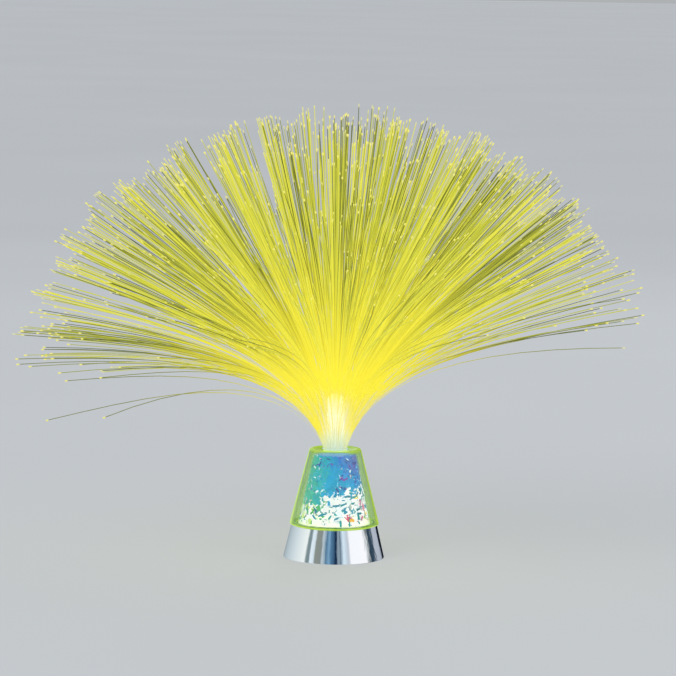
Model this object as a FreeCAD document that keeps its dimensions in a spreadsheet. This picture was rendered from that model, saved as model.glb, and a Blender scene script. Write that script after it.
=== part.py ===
"""Battery fiber optic lamp: a chromed foot, a clear body full of film shreds and a fan of light fibers.

Units are millimetres. The origin is the centre of the foot's rim, +Z is up and -Y is the front.
"""
import FreeCAD, Part
import math
import os
import re
import Sketcher

Vector = FreeCAD.Vector
doc = FreeCAD.newDocument("FiberLamp")

# ---------------------------------------------------------------- driving dimensions
sizes = doc.addObject("Spreadsheet::Sheet", "Sizes")
dimensions = [
    # chromed foot; its rim is as wide as three cells side by side need
    ("foot_margin", 0.22),
    ("skirt_angle", 13.2),
    ("skirt_wall", 1.6),
    ("deck_thickness", 1.6),
    ("deck_ledge", 5.6),
    ("lead_room", 3.2),
    ("spigot_height", 1.8),
    ("spigot_wall", 1.2),
    ("rim_chamfer", 0.4),
    # clear body
    ("crystal_height", 60.0),
    ("crystal_overhang", 1.6),
    ("crystal_top_radius", 20.7),
    ("crystal_wall", 2.4),
    ("crystal_top_thickness", 3.2),
    ("shoulder_radius", 2.6),
    ("hole_radius", 10.4),
    ("sleeve_wall", 1.6),
    ("sleeve_top_gap", 0.4),
    ("diffuser_thickness", 1.5),
    ("seat_gap", 0.3),
    # film shreds in the clear body
    ("flake_radius", 3.6),
    ("flake_thickness", 0.15),
    ("flake_gap", 0.15),
    ("heap_height", 27.0),
    # bundle
    ("ferrule_wall", 0.8),
    ("ferrule_gap", 0.2),
    ("flange_overlap", 3.6),
    ("flange_thickness", 2.0),
    ("bundle_depth", 14.4),
    ("plug_height", 6.0),
    ("rod_rise", 44.0),
    ("potting_gap", 0.1),
    ("strand_width", 0.5),
    ("strand_gap", 0.1),
    ("strand_length", 280.0),
    ("strand_stiff_length", 20.0),
    ("strand_bend_length", 72.0),
    ("strand_taper_share", 0.07),
    ("fan_cover_share", 0.8),
    ("fan_droop_angle", 12.0),
    # bottom tray and battery bay
    ("tray_recess", 1.6),
    ("tray_thickness", 1.6),
    ("tray_gap", 0.2),
    ("bay_wall", 1.2),
    ("cheek_thickness", 1.2),
    ("cheek_height", 3.0),
    ("door_gap", 0.25),
    ("door_trim_inset", 4.4),
    ("door_tab_radius", 4.2),
    ("door_overlap", 0.9),
    ("grip_length", 14.0),
    ("grip_width", 1.0),
    ("grip_depth", 0.5),
    ("grip_pitch", 2.0),
    # AA cells
    ("cell_radius", 7.25),
    ("cell_length", 50.5),
    ("cell_nub_height", 1.2),
    ("cell_nub_radius", 2.75),
    ("cell_gap", 0.3),
    ("cell_clearance", 0.2),
    ("cell_shift", 1.0),
    # sheet contacts
    ("sheet", 0.4),
    ("contact_width", 8.0),
    ("contact_height", 9.0),
    ("contact_gap", 0.05),
    ("pip_side", 4.0),
    ("pip_reach", 0.6),
    ("leaf_inset", 1.0),
    ("leaf_crest", 2.0),
    ("tail_width", 3.0),
    ("tail_rise", 1.4),
    # screws
    ("screw_radius", 1.25),
    ("screw_head_radius", 2.4),
    ("screw_head_height", 1.3),
    ("screw_length", 9.0),
    ("screw_fit", 0.05),
    ("screw_clearance", 0.25),
    ("pilot_spare", 1.0),
    ("boss_wall", 1.35),
    ("boss_inset", 8.8),
    ("boss_angle", 25.0),
    ("door_screw_inset", 4.1),
    ("board_screw_radius", 0.95),
    ("board_screw_length", 4.6),
    ("board_screw_head", 1.3),
    ("board_screw_offset", 20.0),
    # circuit board
    ("board_inset", 3.3),
    ("board_thickness", 1.6),
    ("standoff_height", 0.8),
    ("standoff_wall", 1.2),
    ("pilot_boss_drop", 1.6),
    ("pilot_boss_wall", 0.85),
    ("led_side", 5.0),
    ("led_height", 1.6),
    ("led_window_radius", 1.8),
    ("led_window_rise", 0.3),
    ("led_circle_radius", 14.0),
    ("chip_length", 4.9),
    ("chip_width", 3.9),
    ("chip_height", 1.4),
    ("chip_inset", 4.9),
    ("chip_lead_span", 6.0),
    ("chip_lead_width", 0.4),
    ("chip_lead_pitch", 1.27),
    ("chip_lead_thickness", 0.3),
    ("resistor_length", 2.0),
    ("resistor_width", 1.3),
    ("resistor_height", 0.6),
    ("resistor_inset", 5.6),
    # slide switch
    ("switch_width", 6.6),
    ("switch_length", 13.0),
    ("switch_height", 5.0),
    ("switch_inset", 10.4),
    ("knob_width", 3.0),
    ("knob_length", 4.0),
    ("knob_travel", 3.0),
    ("knob_reach", 1.2),
    ("carriage_height", 1.3),
    ("carriage_lip", 0.8),
    ("knob_groove_width", 0.5),
    ("knob_groove_depth", 0.4),
    ("knob_groove_pitch", 1.2),
    ("pin_width", 1.6),
    ("pin_height", 2.8),
    ("pin_pitch", 3.0),
    ("slide_fit", 0.1),
    # wires
    ("wire_radius", 0.45),
    ("landing_inset", 0.9),
]
for row, (alias, number) in enumerate(dimensions, start=1):
    sizes.set("A%d" % row, alias)
    sizes.set("B%d" % row, str(number))
    sizes.setAlias("B%d" % row, alias)
doc.recompute()
aliases = {alias for alias, number in dimensions}
nodes = []


def tied(text):
    """The same expression with each alias written as a reference to the sheet."""
    def reference(word):
        return "Sizes." + word.group() if word.group() in aliases else word.group()
    return re.sub(r"[a-z_]+", reference, text)


def value(text):
    """The number that an expression over the sheet's aliases gives now."""
    return float(sizes.evalExpression(tied(text)))


def tie(target, **settings):
    """Bind properties of an object to expressions; low_x, low_y and low_z bind its place."""
    for name, text in settings.items():
        target.setExpression(name.replace("low_", "Placement.Base."), tied(text))


def node(label, shape_object):
    """Name a finished sub-part."""
    shape_object.Label = label
    nodes.append((label, shape_object))
    return shape_object


# ---------------------------------------------------------------- levels and radii that follow from the sizes
TAPER = "tan(skirt_angle * 1 deg)"
TRAY_TOP = "(tray_recess + tray_thickness)"
CELL_PITCH = "(2 * cell_radius + cell_gap)"
CELL_LEVEL = "(%s + cell_clearance + cell_radius)" % TRAY_TOP
CELL_CORNER = "sqrt((%s + cell_radius)^2 + (cell_length / 2 + cell_shift)^2)" % CELL_PITCH
BAY_HALF_WIDTH = "(%s + cell_radius + cell_gap)" % CELL_PITCH
BAY_HALF_LENGTH = "(cell_length / 2 + cell_shift + contact_gap + pip_reach + sheet)"
BAY_CEILING = "(%s + cell_radius + cell_clearance / 2)" % CELL_LEVEL
BAY_TOP = "(%s + bay_wall)" % BAY_CEILING
TAIL_RADIUS = "sqrt(%s^2 + (%s - sheet / 2)^2)" % (CELL_PITCH, BAY_HALF_LENGTH)
TAIL_TOP = "(%s + tail_rise)" % BAY_TOP
BOARD_RADIUS = "(%s - board_inset)" % TAIL_RADIUS
BOARD_UNDER = "(%s + standoff_height)" % BAY_TOP
BOARD_TOP = "(%s + board_thickness)" % BOARD_UNDER
CELL_ROOM = "(%s + %s * %s)" % (CELL_CORNER, TAPER, CELL_LEVEL)
BASE_RADIUS = "(%s + skirt_wall + tray_gap + bay_wall + foot_margin)" % CELL_ROOM
DECK_UNDER = "(%s + lead_room)" % BOARD_TOP
DECK_TOP = "(%s + deck_thickness)" % DECK_UNDER
SKIRT_TOP_RADIUS = "(%s - %s * %s)" % (BASE_RADIUS, TAPER, DECK_TOP)
DECK_OPENING_RADIUS = "(%s - deck_ledge)" % BOARD_RADIUS
PLATE_TOP = "(%s + crystal_height)" % DECK_TOP
PLATE_UNDER = "(%s - crystal_top_thickness)" % PLATE_TOP
CRYSTAL_BOTTOM_RADIUS = "(%s + crystal_overhang)" % SKIRT_TOP_RADIUS
CRYSTAL_TAPER = "((%s - crystal_top_radius) / crystal_height)" % CRYSTAL_BOTTOM_RADIUS
CRYSTAL_INNER_BOTTOM = "(%s - crystal_wall)" % CRYSTAL_BOTTOM_RADIUS
CRYSTAL_INNER_TOP = "(crystal_top_radius - crystal_wall + %s * crystal_top_thickness)" % CRYSTAL_TAPER
SPIGOT_OUTER = "(%s - 2 * %s * spigot_height)" % (CRYSTAL_INNER_BOTTOM, CRYSTAL_TAPER)
SPIGOT_INNER = "(%s - spigot_wall)" % SPIGOT_OUTER
SLEEVE_BOTTOM = "(%s - seat_gap)" % SPIGOT_INNER
SLEEVE_TOP = "(%s - sleeve_top_gap)" % CRYSTAL_INNER_TOP
SLEEVE_TAPER = "((%s - %s) / (crystal_height - crystal_top_thickness))" % (SLEEVE_BOTTOM, SLEEVE_TOP)
DIFFUSER_RADIUS = "(%s - sleeve_wall - %s * diffuser_thickness - seat_gap)" % (SLEEVE_BOTTOM, SLEEVE_TAPER)
CHAMBER_FLOOR = "(%s + diffuser_thickness)" % DECK_TOP
BUNDLE_BOTTOM = "(%s - bundle_depth)" % PLATE_TOP
PLUG_TOP = "(%s + plug_height)" % BUNDLE_BOTTOM
FERRULE_OUTER = "(hole_radius - ferrule_gap)"
FERRULE_INNER = "(%s - ferrule_wall)" % FERRULE_OUTER
PLUG_OUTER = "(%s - potting_gap)" % FERRULE_INNER
STRAND_PITCH = "(strand_width + strand_gap)"
PLUG_INNER = "(%s - 4 * %s)" % (PLUG_OUTER, STRAND_PITCH)
ROD_RADIUS = "(%s - potting_gap)" % PLUG_INNER
BOSS_CIRCLE_RADIUS = "(%s - boss_inset)" % BASE_RADIUS
BOSS_X = "(%s * cos(boss_angle * 1 deg))" % BOSS_CIRCLE_RADIUS
BOSS_Y = "(%s * sin(boss_angle * 1 deg))" % BOSS_CIRCLE_RADIUS
BOSS_RADIUS = "(screw_radius + boss_wall)"
DOOR_HALF_WIDTH = "(%s + door_overlap)" % BAY_HALF_WIDTH
DOOR_HALF_LENGTH = "(%s + door_overlap)" % BAY_HALF_LENGTH
DOOR_TRIM_RADIUS = "(%s - door_trim_inset)" % BASE_RADIUS
DOOR_SCREW_OFFSET = "(%s + door_screw_inset)" % BAY_HALF_LENGTH
BOARD_SCREW_X = "(%s / 2)" % CELL_PITCH
BOARD_SCREW_Y = "board_screw_offset"
SWITCH_OFFSET = "(%s - switch_inset)" % BASE_RADIUS
SWITCH_TOP = "(%s + switch_height)" % TRAY_TOP
KNOB_CENTRE = "(knob_travel / 2)"
PIN_TOP = "(%s + pin_height)" % SWITCH_TOP
PILOT_DEPTH = "(screw_length + pilot_spare - tray_thickness)"
PILOT_BOTTOM = "(%s - pilot_boss_drop)" % BAY_CEILING


def skirtInside(level):
    """Radius of the foot's inner wall at a level."""
    return "(%s - skirt_wall - %s * %s)" % (BASE_RADIUS, TAPER, level)


def trayOutside(level):
    """Radius that the tray may have at a level."""
    return "(%s - tray_gap)" % skirtInside(level)


# ---------------------------------------------------------------- building blocks
goldenShare = (math.sqrt(5) - 1) / 2   # steps of this share of a turn never fall into rows


def plane(body, role):
    return next(item for item in body.Origin.OriginFeatures if item.Role == role)


def pin(sketch, kind, axis, index, point, text):
    """Fix one coordinate of a sketch point to an expression, or to the axis where it is 0."""
    if text == "0":
        sketch.addConstraint(Sketcher.Constraint("PointOnObject", index, point, axis))
        return
    rule = sketch.addConstraint(Sketcher.Constraint(kind, -1, 1, index, point, value(text)))
    sketch.setExpression("Constraints[%d]" % rule, tied(text))


def newSketch(body, role, level="0"):
    sketch = body.newObject("Sketcher::SketchObject", "Sketch")
    sketch.AttachmentSupport = (plane(body, role), [""])
    sketch.MapMode = "FlatFace"
    if level != "0":
        sketch.setExpression("AttachmentOffset.Base.z", tied(level))
    return sketch


def outlineSketch(body, role, points, level="0"):
    """Closed outline of straight lines through points given as pairs of expressions."""
    sketch = newSketch(body, role, level)
    corners = [Vector(value(across), value(up), 0) for across, up in points]
    for index, corner in enumerate(corners):
        sketch.addGeometry(Part.LineSegment(corner, corners[(index + 1) % len(corners)]))
    for index, (across, up) in enumerate(points):
        sketch.addConstraint(Sketcher.Constraint("Coincident", index, 2, (index + 1) % len(points), 1))
        pin(sketch, "DistanceX", -2, index, 1, across)
        pin(sketch, "DistanceY", -1, index, 1, up)
    return sketch


def circleSketch(body, level, circles):
    """Circles on a level plane, each given as centre x, centre y and radius."""
    sketch = newSketch(body, "XY_Plane", level)
    for index, (across, along, radius) in enumerate(circles):
        centre = Vector(value(across), value(along), 0)
        sketch.addGeometry(Part.Circle(centre, Vector(0, 0, 1), value(radius)))
        pin(sketch, "DistanceX", -2, index, 3, across)
        pin(sketch, "DistanceY", -1, index, 3, along)
        rule = sketch.addConstraint(Sketcher.Constraint("Radius", index, value(radius)))
        sketch.setExpression("Constraints[%d]" % rule, tied(radius))
    return sketch


def revolved(points, place=("0", "0")):
    """Body turned about an upright axis through a place; points are radius and level."""
    body = doc.addObject("PartDesign::Body", "Turned")
    turned(body, points, place)
    return body


def turned(body, points, place=("0", "0")):
    sketch = outlineSketch(body, "XZ_Plane", points)
    if place != ("0", "0"):
        sketch.setExpression("AttachmentOffset.Base.x", tied(place[0]))
        sketch.setExpression("AttachmentOffset.Base.z", tied("-(%s)" % place[1]))
    feature = body.newObject("PartDesign::Revolution", "Revolution")
    feature.Profile = (sketch, [""])
    feature.ReferenceAxis = (sketch, ["V_Axis"])
    feature.Angle = 360
    return feature


def padded(body, sketch, height):
    feature = body.newObject("PartDesign::Pad", "Pad")
    feature.Profile = (sketch, [""])
    feature.setExpression("Length", tied(height))
    return feature


def pocketed(body, sketch, depth):
    """Cut upwards from the sketch's level."""
    doc.recompute()
    before = body.Shape.Volume
    feature = body.newObject("PartDesign::Pocket", "Pocket")
    feature.Profile = (sketch, [""])
    feature.Reversed = True
    feature.setExpression("Length", tied(depth))
    doc.recompute()
    if body.Shape.Volume >= before:
        raise RuntimeError("a pocket of %s cuts nothing" % body.Label)
    return feature


def repeated(body, originals, count):
    """Copies of features evenly spaced about the upright axis."""
    feature = body.newObject("PartDesign::PolarPattern", "PolarPattern")
    feature.Originals = originals
    feature.Axis = (plane(body, "Z_Axis"), [""])
    feature.Angle = 360
    feature.Occurrences = count
    body.Tip = feature
    return feature


def softened(body, kind, base, rings, size):
    """Fillet or Chamfer on the ring edges of a turned feature, each found by its radius and level."""
    doc.recompute()
    names = []
    for ringRadius, level in rings:
        for number, edge in enumerate(base.Shape.Edges, start=1):
            curve = edge.Curve
            if not isinstance(curve, Part.Circle):
                continue
            same_level = abs(curve.Center.z - value(level)) < 1e-4
            if same_level and abs(curve.Radius - value(ringRadius)) < 1e-4:
                names.append("Edge%d" % number)
                break
    feature = body.newObject("PartDesign::" + kind, kind)
    feature.Base = (base, names)
    feature.setExpression("Radius" if kind == "Fillet" else "Size", tied(size))
    return feature


def box(size_x, size_y, size_z, centre_x, centre_y, low_z):
    """Box centred on a place, standing on a level."""
    block = doc.addObject("Part::Box", "Box")
    tie(block, Length=size_x, Width=size_y, Height=size_z, low_z=low_z)
    tie(block, low_x="%s - (%s) / 2" % (centre_x, size_x), low_y="%s - (%s) / 2" % (centre_y, size_y))
    return block


def cylinder(radius, height, x="0", y="0", low_z="0"):
    rod = doc.addObject("Part::Cylinder", "Cylinder")
    tie(rod, Radius=radius, Height=height, low_x=x, low_y=y, low_z=low_z)
    return rod


def cone(low_radius, high_radius, height, low_z):
    frustum = doc.addObject("Part::Cone", "Cone")
    tie(frustum, Radius1=low_radius, Radius2=high_radius, Height=height, low_z=low_z)
    return frustum


def fused(*shapes):
    union = doc.addObject("Part::MultiFuse", "Fusion")
    union.Shapes = list(shapes)
    return union


def common(first, second):
    overlap = doc.addObject("Part::Common", "Common")
    overlap.Base = first
    overlap.Tool = second
    return overlap


def cut(base, *tools):
    """Take away the tools, and make sure that the cut does take something away."""
    difference = doc.addObject("Part::Cut", "Cut")
    difference.Base = base
    difference.Tool = tools[0] if len(tools) == 1 else fused(*tools)
    doc.recompute()
    if difference.Shape.Volume >= base.Shape.Volume:
        raise RuntimeError("a cut takes nothing away")
    return difference


def bothSides(make):
    """The same block left and right, or front and rear."""
    return [make(sign) for sign in ("-", "")]


# ---------------------------------------------------------------- chromed foot
def chromeSkirt():
    body = revolved([
        (BASE_RADIUS, "0"),
        (SKIRT_TOP_RADIUS, DECK_TOP),
        (SPIGOT_OUTER, DECK_TOP),
        (SPIGOT_OUTER, "%s + spigot_height" % DECK_TOP),
        (SPIGOT_INNER, "%s + spigot_height" % DECK_TOP),
        (SPIGOT_INNER, DECK_TOP),
        (DECK_OPENING_RADIUS, DECK_TOP),
        (DECK_OPENING_RADIUS, DECK_UNDER),
        (skirtInside(DECK_UNDER), DECK_UNDER),
        (skirtInside("0"), "0"),
    ])
    softened(body, "Chamfer", body.Tip, [(BASE_RADIUS, "0"), (SKIRT_TOP_RADIUS, DECK_TOP)], "rim_chamfer")
    places = [(x + BOSS_X, y + BOSS_Y) for x in ("-", "") for y in ("-", "")]
    bosses = circleSketch(body, TRAY_TOP, [(x, y, BOSS_RADIUS) for x, y in places])
    padded(body, bosses, "%s - %s" % (DECK_UNDER, TRAY_TOP))
    pilots = circleSketch(body, TRAY_TOP, [(x, y, "screw_radius + screw_fit") for x, y in places])
    pocketed(body, pilots, PILOT_DEPTH)
    return node("chrome_skirt", body)


# ---------------------------------------------------------------- bottom tray with the battery bay
def baseTray():
    envelope = cone(trayOutside("tray_recess"), trayOutside(BAY_TOP),
                    "%s - tray_recess" % BAY_TOP, "tray_recess")
    floor = cylinder(BASE_RADIUS, "tray_thickness", low_z="tray_recess")
    bay = box("2 * (%s + bay_wall)" % BAY_HALF_WIDTH, "2 * (%s + bay_wall)" % BAY_HALF_LENGTH,
              "%s - tray_recess" % BAY_TOP, "0", "0", "tray_recess")
    doorBosses = bothSides(lambda sign: cylinder(
        BOSS_RADIUS, "screw_length", "0", sign + DOOR_SCREW_OFFSET, TRAY_TOP))
    webs = bothSides(lambda sign: box(
        "2 * boss_wall", "door_screw_inset", "screw_length", "0",
        "%s(%s + %s) / 2" % (sign, DOOR_SCREW_OFFSET, BAY_HALF_LENGTH), TRAY_TOP))
    cheeks = bothSides(lambda sign: box(
        "switch_width", "cheek_thickness", "cheek_height", SWITCH_OFFSET,
        "%s(switch_length / 2 + cheek_thickness / 2 + slide_fit)" % sign, TRAY_TOP))
    outside = common(envelope, fused(floor, bay, *doorBosses, *webs, *cheeks))
    screwPlaces = [(x + BOARD_SCREW_X, y + BOARD_SCREW_Y) for x in ("-", "") for y in ("-", "")]
    standoffs = [cylinder("board_screw_radius + standoff_wall", "standoff_height + bay_wall / 2", x, y,
                          "%s - bay_wall / 2" % BAY_TOP) for x, y in screwPlaces]
    pilotPlaces = [(side + BOARD_SCREW_X, side + BOARD_SCREW_Y) for side in ("-", "")]
    pilotBosses = [cylinder("board_screw_radius + pilot_boss_wall", "pilot_boss_drop + bay_wall / 2", x, y,
                            PILOT_BOTTOM) for x, y in pilotPlaces]

    wallInside = cone("%s - bay_wall" % trayOutside("0"), "%s - bay_wall" % trayOutside(BAY_CEILING),
                      BAY_CEILING, "0")
    cells = box("2 * %s" % BAY_HALF_WIDTH, "2 * %s" % BAY_HALF_LENGTH, BAY_CEILING, "0", "0", "0")
    cavity = common(wallInside, cells)
    shell = fused(cut(outside, cavity, doorOutline("door_gap")), *standoffs, *pilotBosses)

    boardPilots = [cylinder("board_screw_radius + screw_fit", "%s - %s" % (BOARD_UNDER, PILOT_BOTTOM), x, y,
                            PILOT_BOTTOM) for x, y in pilotPlaces]
    doorPilots = bothSides(lambda sign: cylinder(
        "screw_radius + screw_fit", PILOT_DEPTH, "0", sign + DOOR_SCREW_OFFSET, TRAY_TOP))
    skirtHoles = [cylinder("screw_radius + screw_clearance", "tray_thickness", x + BOSS_X, y + BOSS_Y,
                           "tray_recess") for x in ("-", "") for y in ("-", "")]
    slot = box("knob_width + 2 * slide_fit", "knob_length + knob_travel + 4 * slide_fit", "tray_thickness",
               SWITCH_OFFSET, "0", "tray_recess")
    tails = bothSides(lambda sign: box("tail_width + sheet", "2 * sheet", "bay_wall", sign + CELL_PITCH,
                                       contactSeat(sign), BAY_CEILING))
    return node("base_tray", cut(shell, *boardPilots, *doorPilots, *skirtHoles, slot, *tails))


def contactSeat(side):
    """Middle of the sheet that lies on the bay's front or rear wall."""
    return "%s(%s - sheet / 2)" % (side, BAY_HALF_LENGTH)


def doorOutline(gap):
    """Plate with a round tab at each end, trimmed round to fit the foot; gap widens it all round."""
    plate = box("2 * (%s + %s)" % (DOOR_HALF_WIDTH, gap), "2 * (%s + %s)" % (DOOR_HALF_LENGTH, gap),
                "tray_thickness", "0", "0", "tray_recess")
    tabs = bothSides(lambda sign: cylinder("door_tab_radius + %s" % gap, "tray_thickness", "0",
                                           sign + DOOR_SCREW_OFFSET, "tray_recess"))
    trim = cylinder("%s + %s" % (DOOR_TRIM_RADIUS, gap), "tray_thickness", low_z="tray_recess")
    return common(trim, fused(plate, *tabs))


def batteryDoor():
    holes = bothSides(lambda sign: cylinder("screw_radius + screw_clearance", "tray_thickness", "0",
                                            sign + DOOR_SCREW_OFFSET, "tray_recess"))
    grips = [box("grip_length", "grip_width", "grip_depth", "0", "%d * grip_pitch" % step, "tray_recess")
             for step in range(-2, 3)]
    return node("battery_door", cut(doorOutline("0"), *holes, *grips))


# ---------------------------------------------------------------- screws
def screwProfile(headRadius, headHeight, shankRadius, length, under, upright):
    """Half section of a screw whose head sits against the level under; upright is 1 or -1."""
    way = "+" if upright > 0 else "-"
    back = "-" if upright > 0 else "+"
    return [
        ("0", "%s %s %s" % (under, way, length)),
        (shankRadius, "%s %s %s" % (under, way, length)),
        (shankRadius, under),
        (headRadius, under),
        (headRadius, "%s %s %s" % (under, back, headHeight)),
        ("0", "%s %s %s" % (under, back, headHeight)),
    ]


def screws():
    profile = screwProfile("screw_head_radius", "screw_head_height", "screw_radius",
                           "screw_length", "tray_recess", 1)
    group = doc.addObject("PartDesign::Body", "Screws")
    pair = [turned(group, profile, (BOSS_X, sign + BOSS_Y)) for sign in ("-", "")]
    repeated(group, pair, 2)
    node("tray_screws", group)
    for label, sign in (("door_screw_front", "-"), ("door_screw_rear", "")):
        node(label, revolved(profile, ("0", sign + DOOR_SCREW_OFFSET)))
    small = doc.addObject("PartDesign::Body", "Screws")
    profile = screwProfile("2 * board_screw_radius", "board_screw_head", "board_screw_radius",
                           "board_screw_length", BOARD_TOP, -1)
    repeated(small, [turned(small, profile, (BOARD_SCREW_X, BOARD_SCREW_Y))], 2)
    node("board_screws", small)


# ---------------------------------------------------------------- cells and contacts
def cells():
    """Three cells side by side; their plus ends point rear, front and rear."""
    half = "(cell_length / 2)"
    profile = [
        ("0", "-" + half),
        ("cell_radius", "-" + half),
        ("cell_radius", half + " - 2 * cell_nub_height"),
        ("cell_radius - cell_nub_height", half + " - cell_nub_height"),
        ("cell_nub_radius", half + " - cell_nub_height"),
        ("cell_nub_radius", half),
        ("0", half),
    ]
    for label, sign, turn in (("left", "-", 1), ("middle", "0 * ", -1), ("right", "", 1)):
        body = revolved(profile)
        body.Placement.Rotation = FreeCAD.Rotation(Vector(1, 0, 0), -90 * turn)
        tie(body, low_x=sign + CELL_PITCH, low_y="%d * cell_shift" % turn, low_z=CELL_LEVEL)
        node("battery_cell_" + label, body)


def contactPlate(x, side, width):
    """Flat sheet against the end wall of the bay."""
    return box(width, "sheet", "contact_height", x, contactSeat(side), "%s - contact_height / 2" % CELL_LEVEL)


def contactPip(x, side):
    """Raised button that meets the cell's plus end."""
    return box("pip_side", "pip_reach", "pip_side", x,
               "%s(%s - sheet - pip_reach / 2)" % (side, BAY_HALF_LENGTH), "%s - pip_side / 2" % CELL_LEVEL)


def contactLeaf(x, side):
    """Sprung tongue that bows out to the cell's minus end; side is -1 for the front and 1 for the rear."""
    foot = "%s - sheet" % BAY_HALF_LENGTH
    tip = "cell_length / 2 - cell_shift + contact_gap"
    line = [
        (foot, "%s - contact_height / 2 + leaf_inset" % CELL_LEVEL),
        (tip, "%s - leaf_crest / 2" % CELL_LEVEL),
        (tip, "%s + leaf_crest / 2" % CELL_LEVEL),
        (foot, "%s + contact_height / 2 - leaf_inset" % CELL_LEVEL),
    ]
    front = [Vector(0, side * value(along), value(up)) for along, up in line]
    back = [point + Vector(0, side * value("sheet"), 0) for point in reversed(front)]
    profile = Part.Face(Part.makePolygon(front + back + [front[0]]))
    leaf = doc.addObject("Part::Feature", "Leaf")
    leaf.Shape = profile.extrude(Vector(value("contact_width") / 2, 0, 0))
    tie(leaf, low_x="%s - contact_width / 4" % x)
    return leaf


def contactTail(x, side):
    """Solder tail through the bay's roof."""
    return box("tail_width", "sheet", "%s - %s" % (TAIL_TOP, CELL_LEVEL), x, contactSeat(side), CELL_LEVEL)


def contacts():
    left, middle, right = "-" + CELL_PITCH, "0", CELL_PITCH
    wide = "%s + contact_width" % CELL_PITCH
    node("contact_negative", fused(
        contactPlate(left, "-", "contact_width"), contactLeaf(left, -1), contactTail(left, "-")))
    node("contact_positive", fused(
        contactPlate(right, "", "contact_width"), contactPip(right, ""), contactTail(right, "")))
    node("contact_bridge_rear", fused(
        contactPlate("-%s / 2" % CELL_PITCH, "", wide), contactPip(left, ""), contactLeaf(middle, 1)))
    node("contact_bridge_front", fused(
        contactPlate("%s / 2" % CELL_PITCH, "-", wide), contactPip(middle, "-"), contactLeaf(right, -1)))


# ---------------------------------------------------------------- slide switch
def slideSwitch():
    carriageLength = "(knob_length + 2 * carriage_lip)"
    carriageWidth = "(knob_width + 2 * carriage_lip)"
    case = box("switch_width", "switch_length", "switch_height", SWITCH_OFFSET, "0", TRAY_TOP)
    track = box("%s + 4 * slide_fit" % carriageWidth, "%s + knob_travel + 6 * slide_fit" % carriageLength,
                "carriage_height + 3 * slide_fit", SWITCH_OFFSET, "0", TRAY_TOP)
    node("switch_body", cut(case, track))
    pins = [box("pin_width", "sheet", "pin_height", SWITCH_OFFSET, "%d * pin_pitch" % step, SWITCH_TOP)
            for step in (-1, 0, 1)]
    node("switch_terminals", fused(*pins))
    stem = box("knob_width", "knob_length", "tray_thickness + knob_reach + slide_fit", SWITCH_OFFSET,
               KNOB_CENTRE, "tray_recess - knob_reach")
    carriage = box(carriageWidth, carriageLength, "carriage_height", SWITCH_OFFSET, KNOB_CENTRE,
                   "%s + slide_fit" % TRAY_TOP)
    grooves = [box("knob_width", "knob_groove_width", "knob_groove_depth", SWITCH_OFFSET,
                   "%s + %d * knob_groove_pitch" % (KNOB_CENTRE, step), "tray_recess - knob_reach")
               for step in (-1, 0, 1)]
    node("switch_knob", cut(fused(stem, carriage), *grooves))


# ---------------------------------------------------------------- circuit board and its parts
def onBoard(inset, degrees):
    """Place on the board, given by its distance from the rim and its bearing."""
    return ("(%s - %s) * cos(%d * 1 deg)" % (BOARD_RADIUS, inset, degrees),
            "(%s - %s) * sin(%d * 1 deg)" % (BOARD_RADIUS, inset, degrees))


def circuitBoard():
    disc = cylinder(BOARD_RADIUS, "board_thickness", low_z=BOARD_UNDER)
    holes = [cylinder("board_screw_radius + screw_fit", "board_thickness", side + BOARD_SCREW_X,
                      side + BOARD_SCREW_Y, BOARD_UNDER) for side in ("-", "")]
    node("circuit_board", cut(disc, *holes))

    square = [("-led_side / 2", "-led_side / 2"), ("led_side / 2", "-led_side / 2"),
              ("led_side / 2", "led_side / 2"), ("-led_side / 2", "led_side / 2")]
    for label, x, count in (("center_led", "0", 1), ("ring_leds", "led_circle_radius", 6)):
        body = doc.addObject("PartDesign::Body", "Led")
        corners = [("%s + %s" % (x, across), along) for across, along in square]
        outline = outlineSketch(body, "XY_Plane", corners, BOARD_TOP)
        case = padded(body, outline, "led_height - led_window_rise")
        window = padded(body, circleSketch(body, BOARD_TOP, [(x, "0", "led_window_radius")]), "led_height")
        if count > 1:
            repeated(body, [case, window], count)
        node(label, body)

    x, y = onBoard("chip_inset", -49)
    chip = box("chip_length", "chip_width", "chip_height", x, y, "%s + chip_lead_thickness / 2" % BOARD_TOP)
    legs = [box("chip_lead_width", "chip_lead_span", "chip_lead_thickness",
                "%s + %.1f * chip_lead_pitch" % (x, step), y, BOARD_TOP) for step in (-1.5, -0.5, 0.5, 1.5)]
    node("driver_chip", fused(chip, *legs))
    resistors = [box("resistor_width", "resistor_length", "resistor_height",
                     *onBoard("resistor_inset", degrees), BOARD_TOP) for degrees in (145, 158, 197, 208)]
    node("board_resistors", fused(*resistors))


def leadTube(x, y, low):
    """Six-sided wire that rises at a place, bends over towards the axis and ends on the board's edge."""
    start = Vector(x, y, 0)
    inward = -start / start.Length
    bend = (start.Length - value("%s - landing_inset" % BOARD_RADIUS)) / 2
    radius = value("wire_radius")
    foot = start + Vector(0, 0, low)
    rise = start + Vector(0, 0, value(BOARD_TOP) + radius)
    crest = rise + inward * bend + Vector(0, 0, bend)
    landing = rise + inward * 2 * bend
    arc = Part.Arc(rise, crest, landing).toShape()
    path = Part.makePolygon([foot] + arc.discretize(7) + [landing - Vector(0, 0, radius)])
    ring = Part.makePolygon([foot + Vector(radius * math.cos(turn), radius * math.sin(turn), 0)
                             for turn in [math.radians(60 * side) for side in range(7)]])
    tube = path.makePipeShell([ring], True, False, 1)
    wanted = Part.Face(ring).Area * path.Length
    if abs(tube.Volume / wanted - 1) > 0.02:
        raise RuntimeError("a wire's tube has the wrong volume")
    return tube


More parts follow.
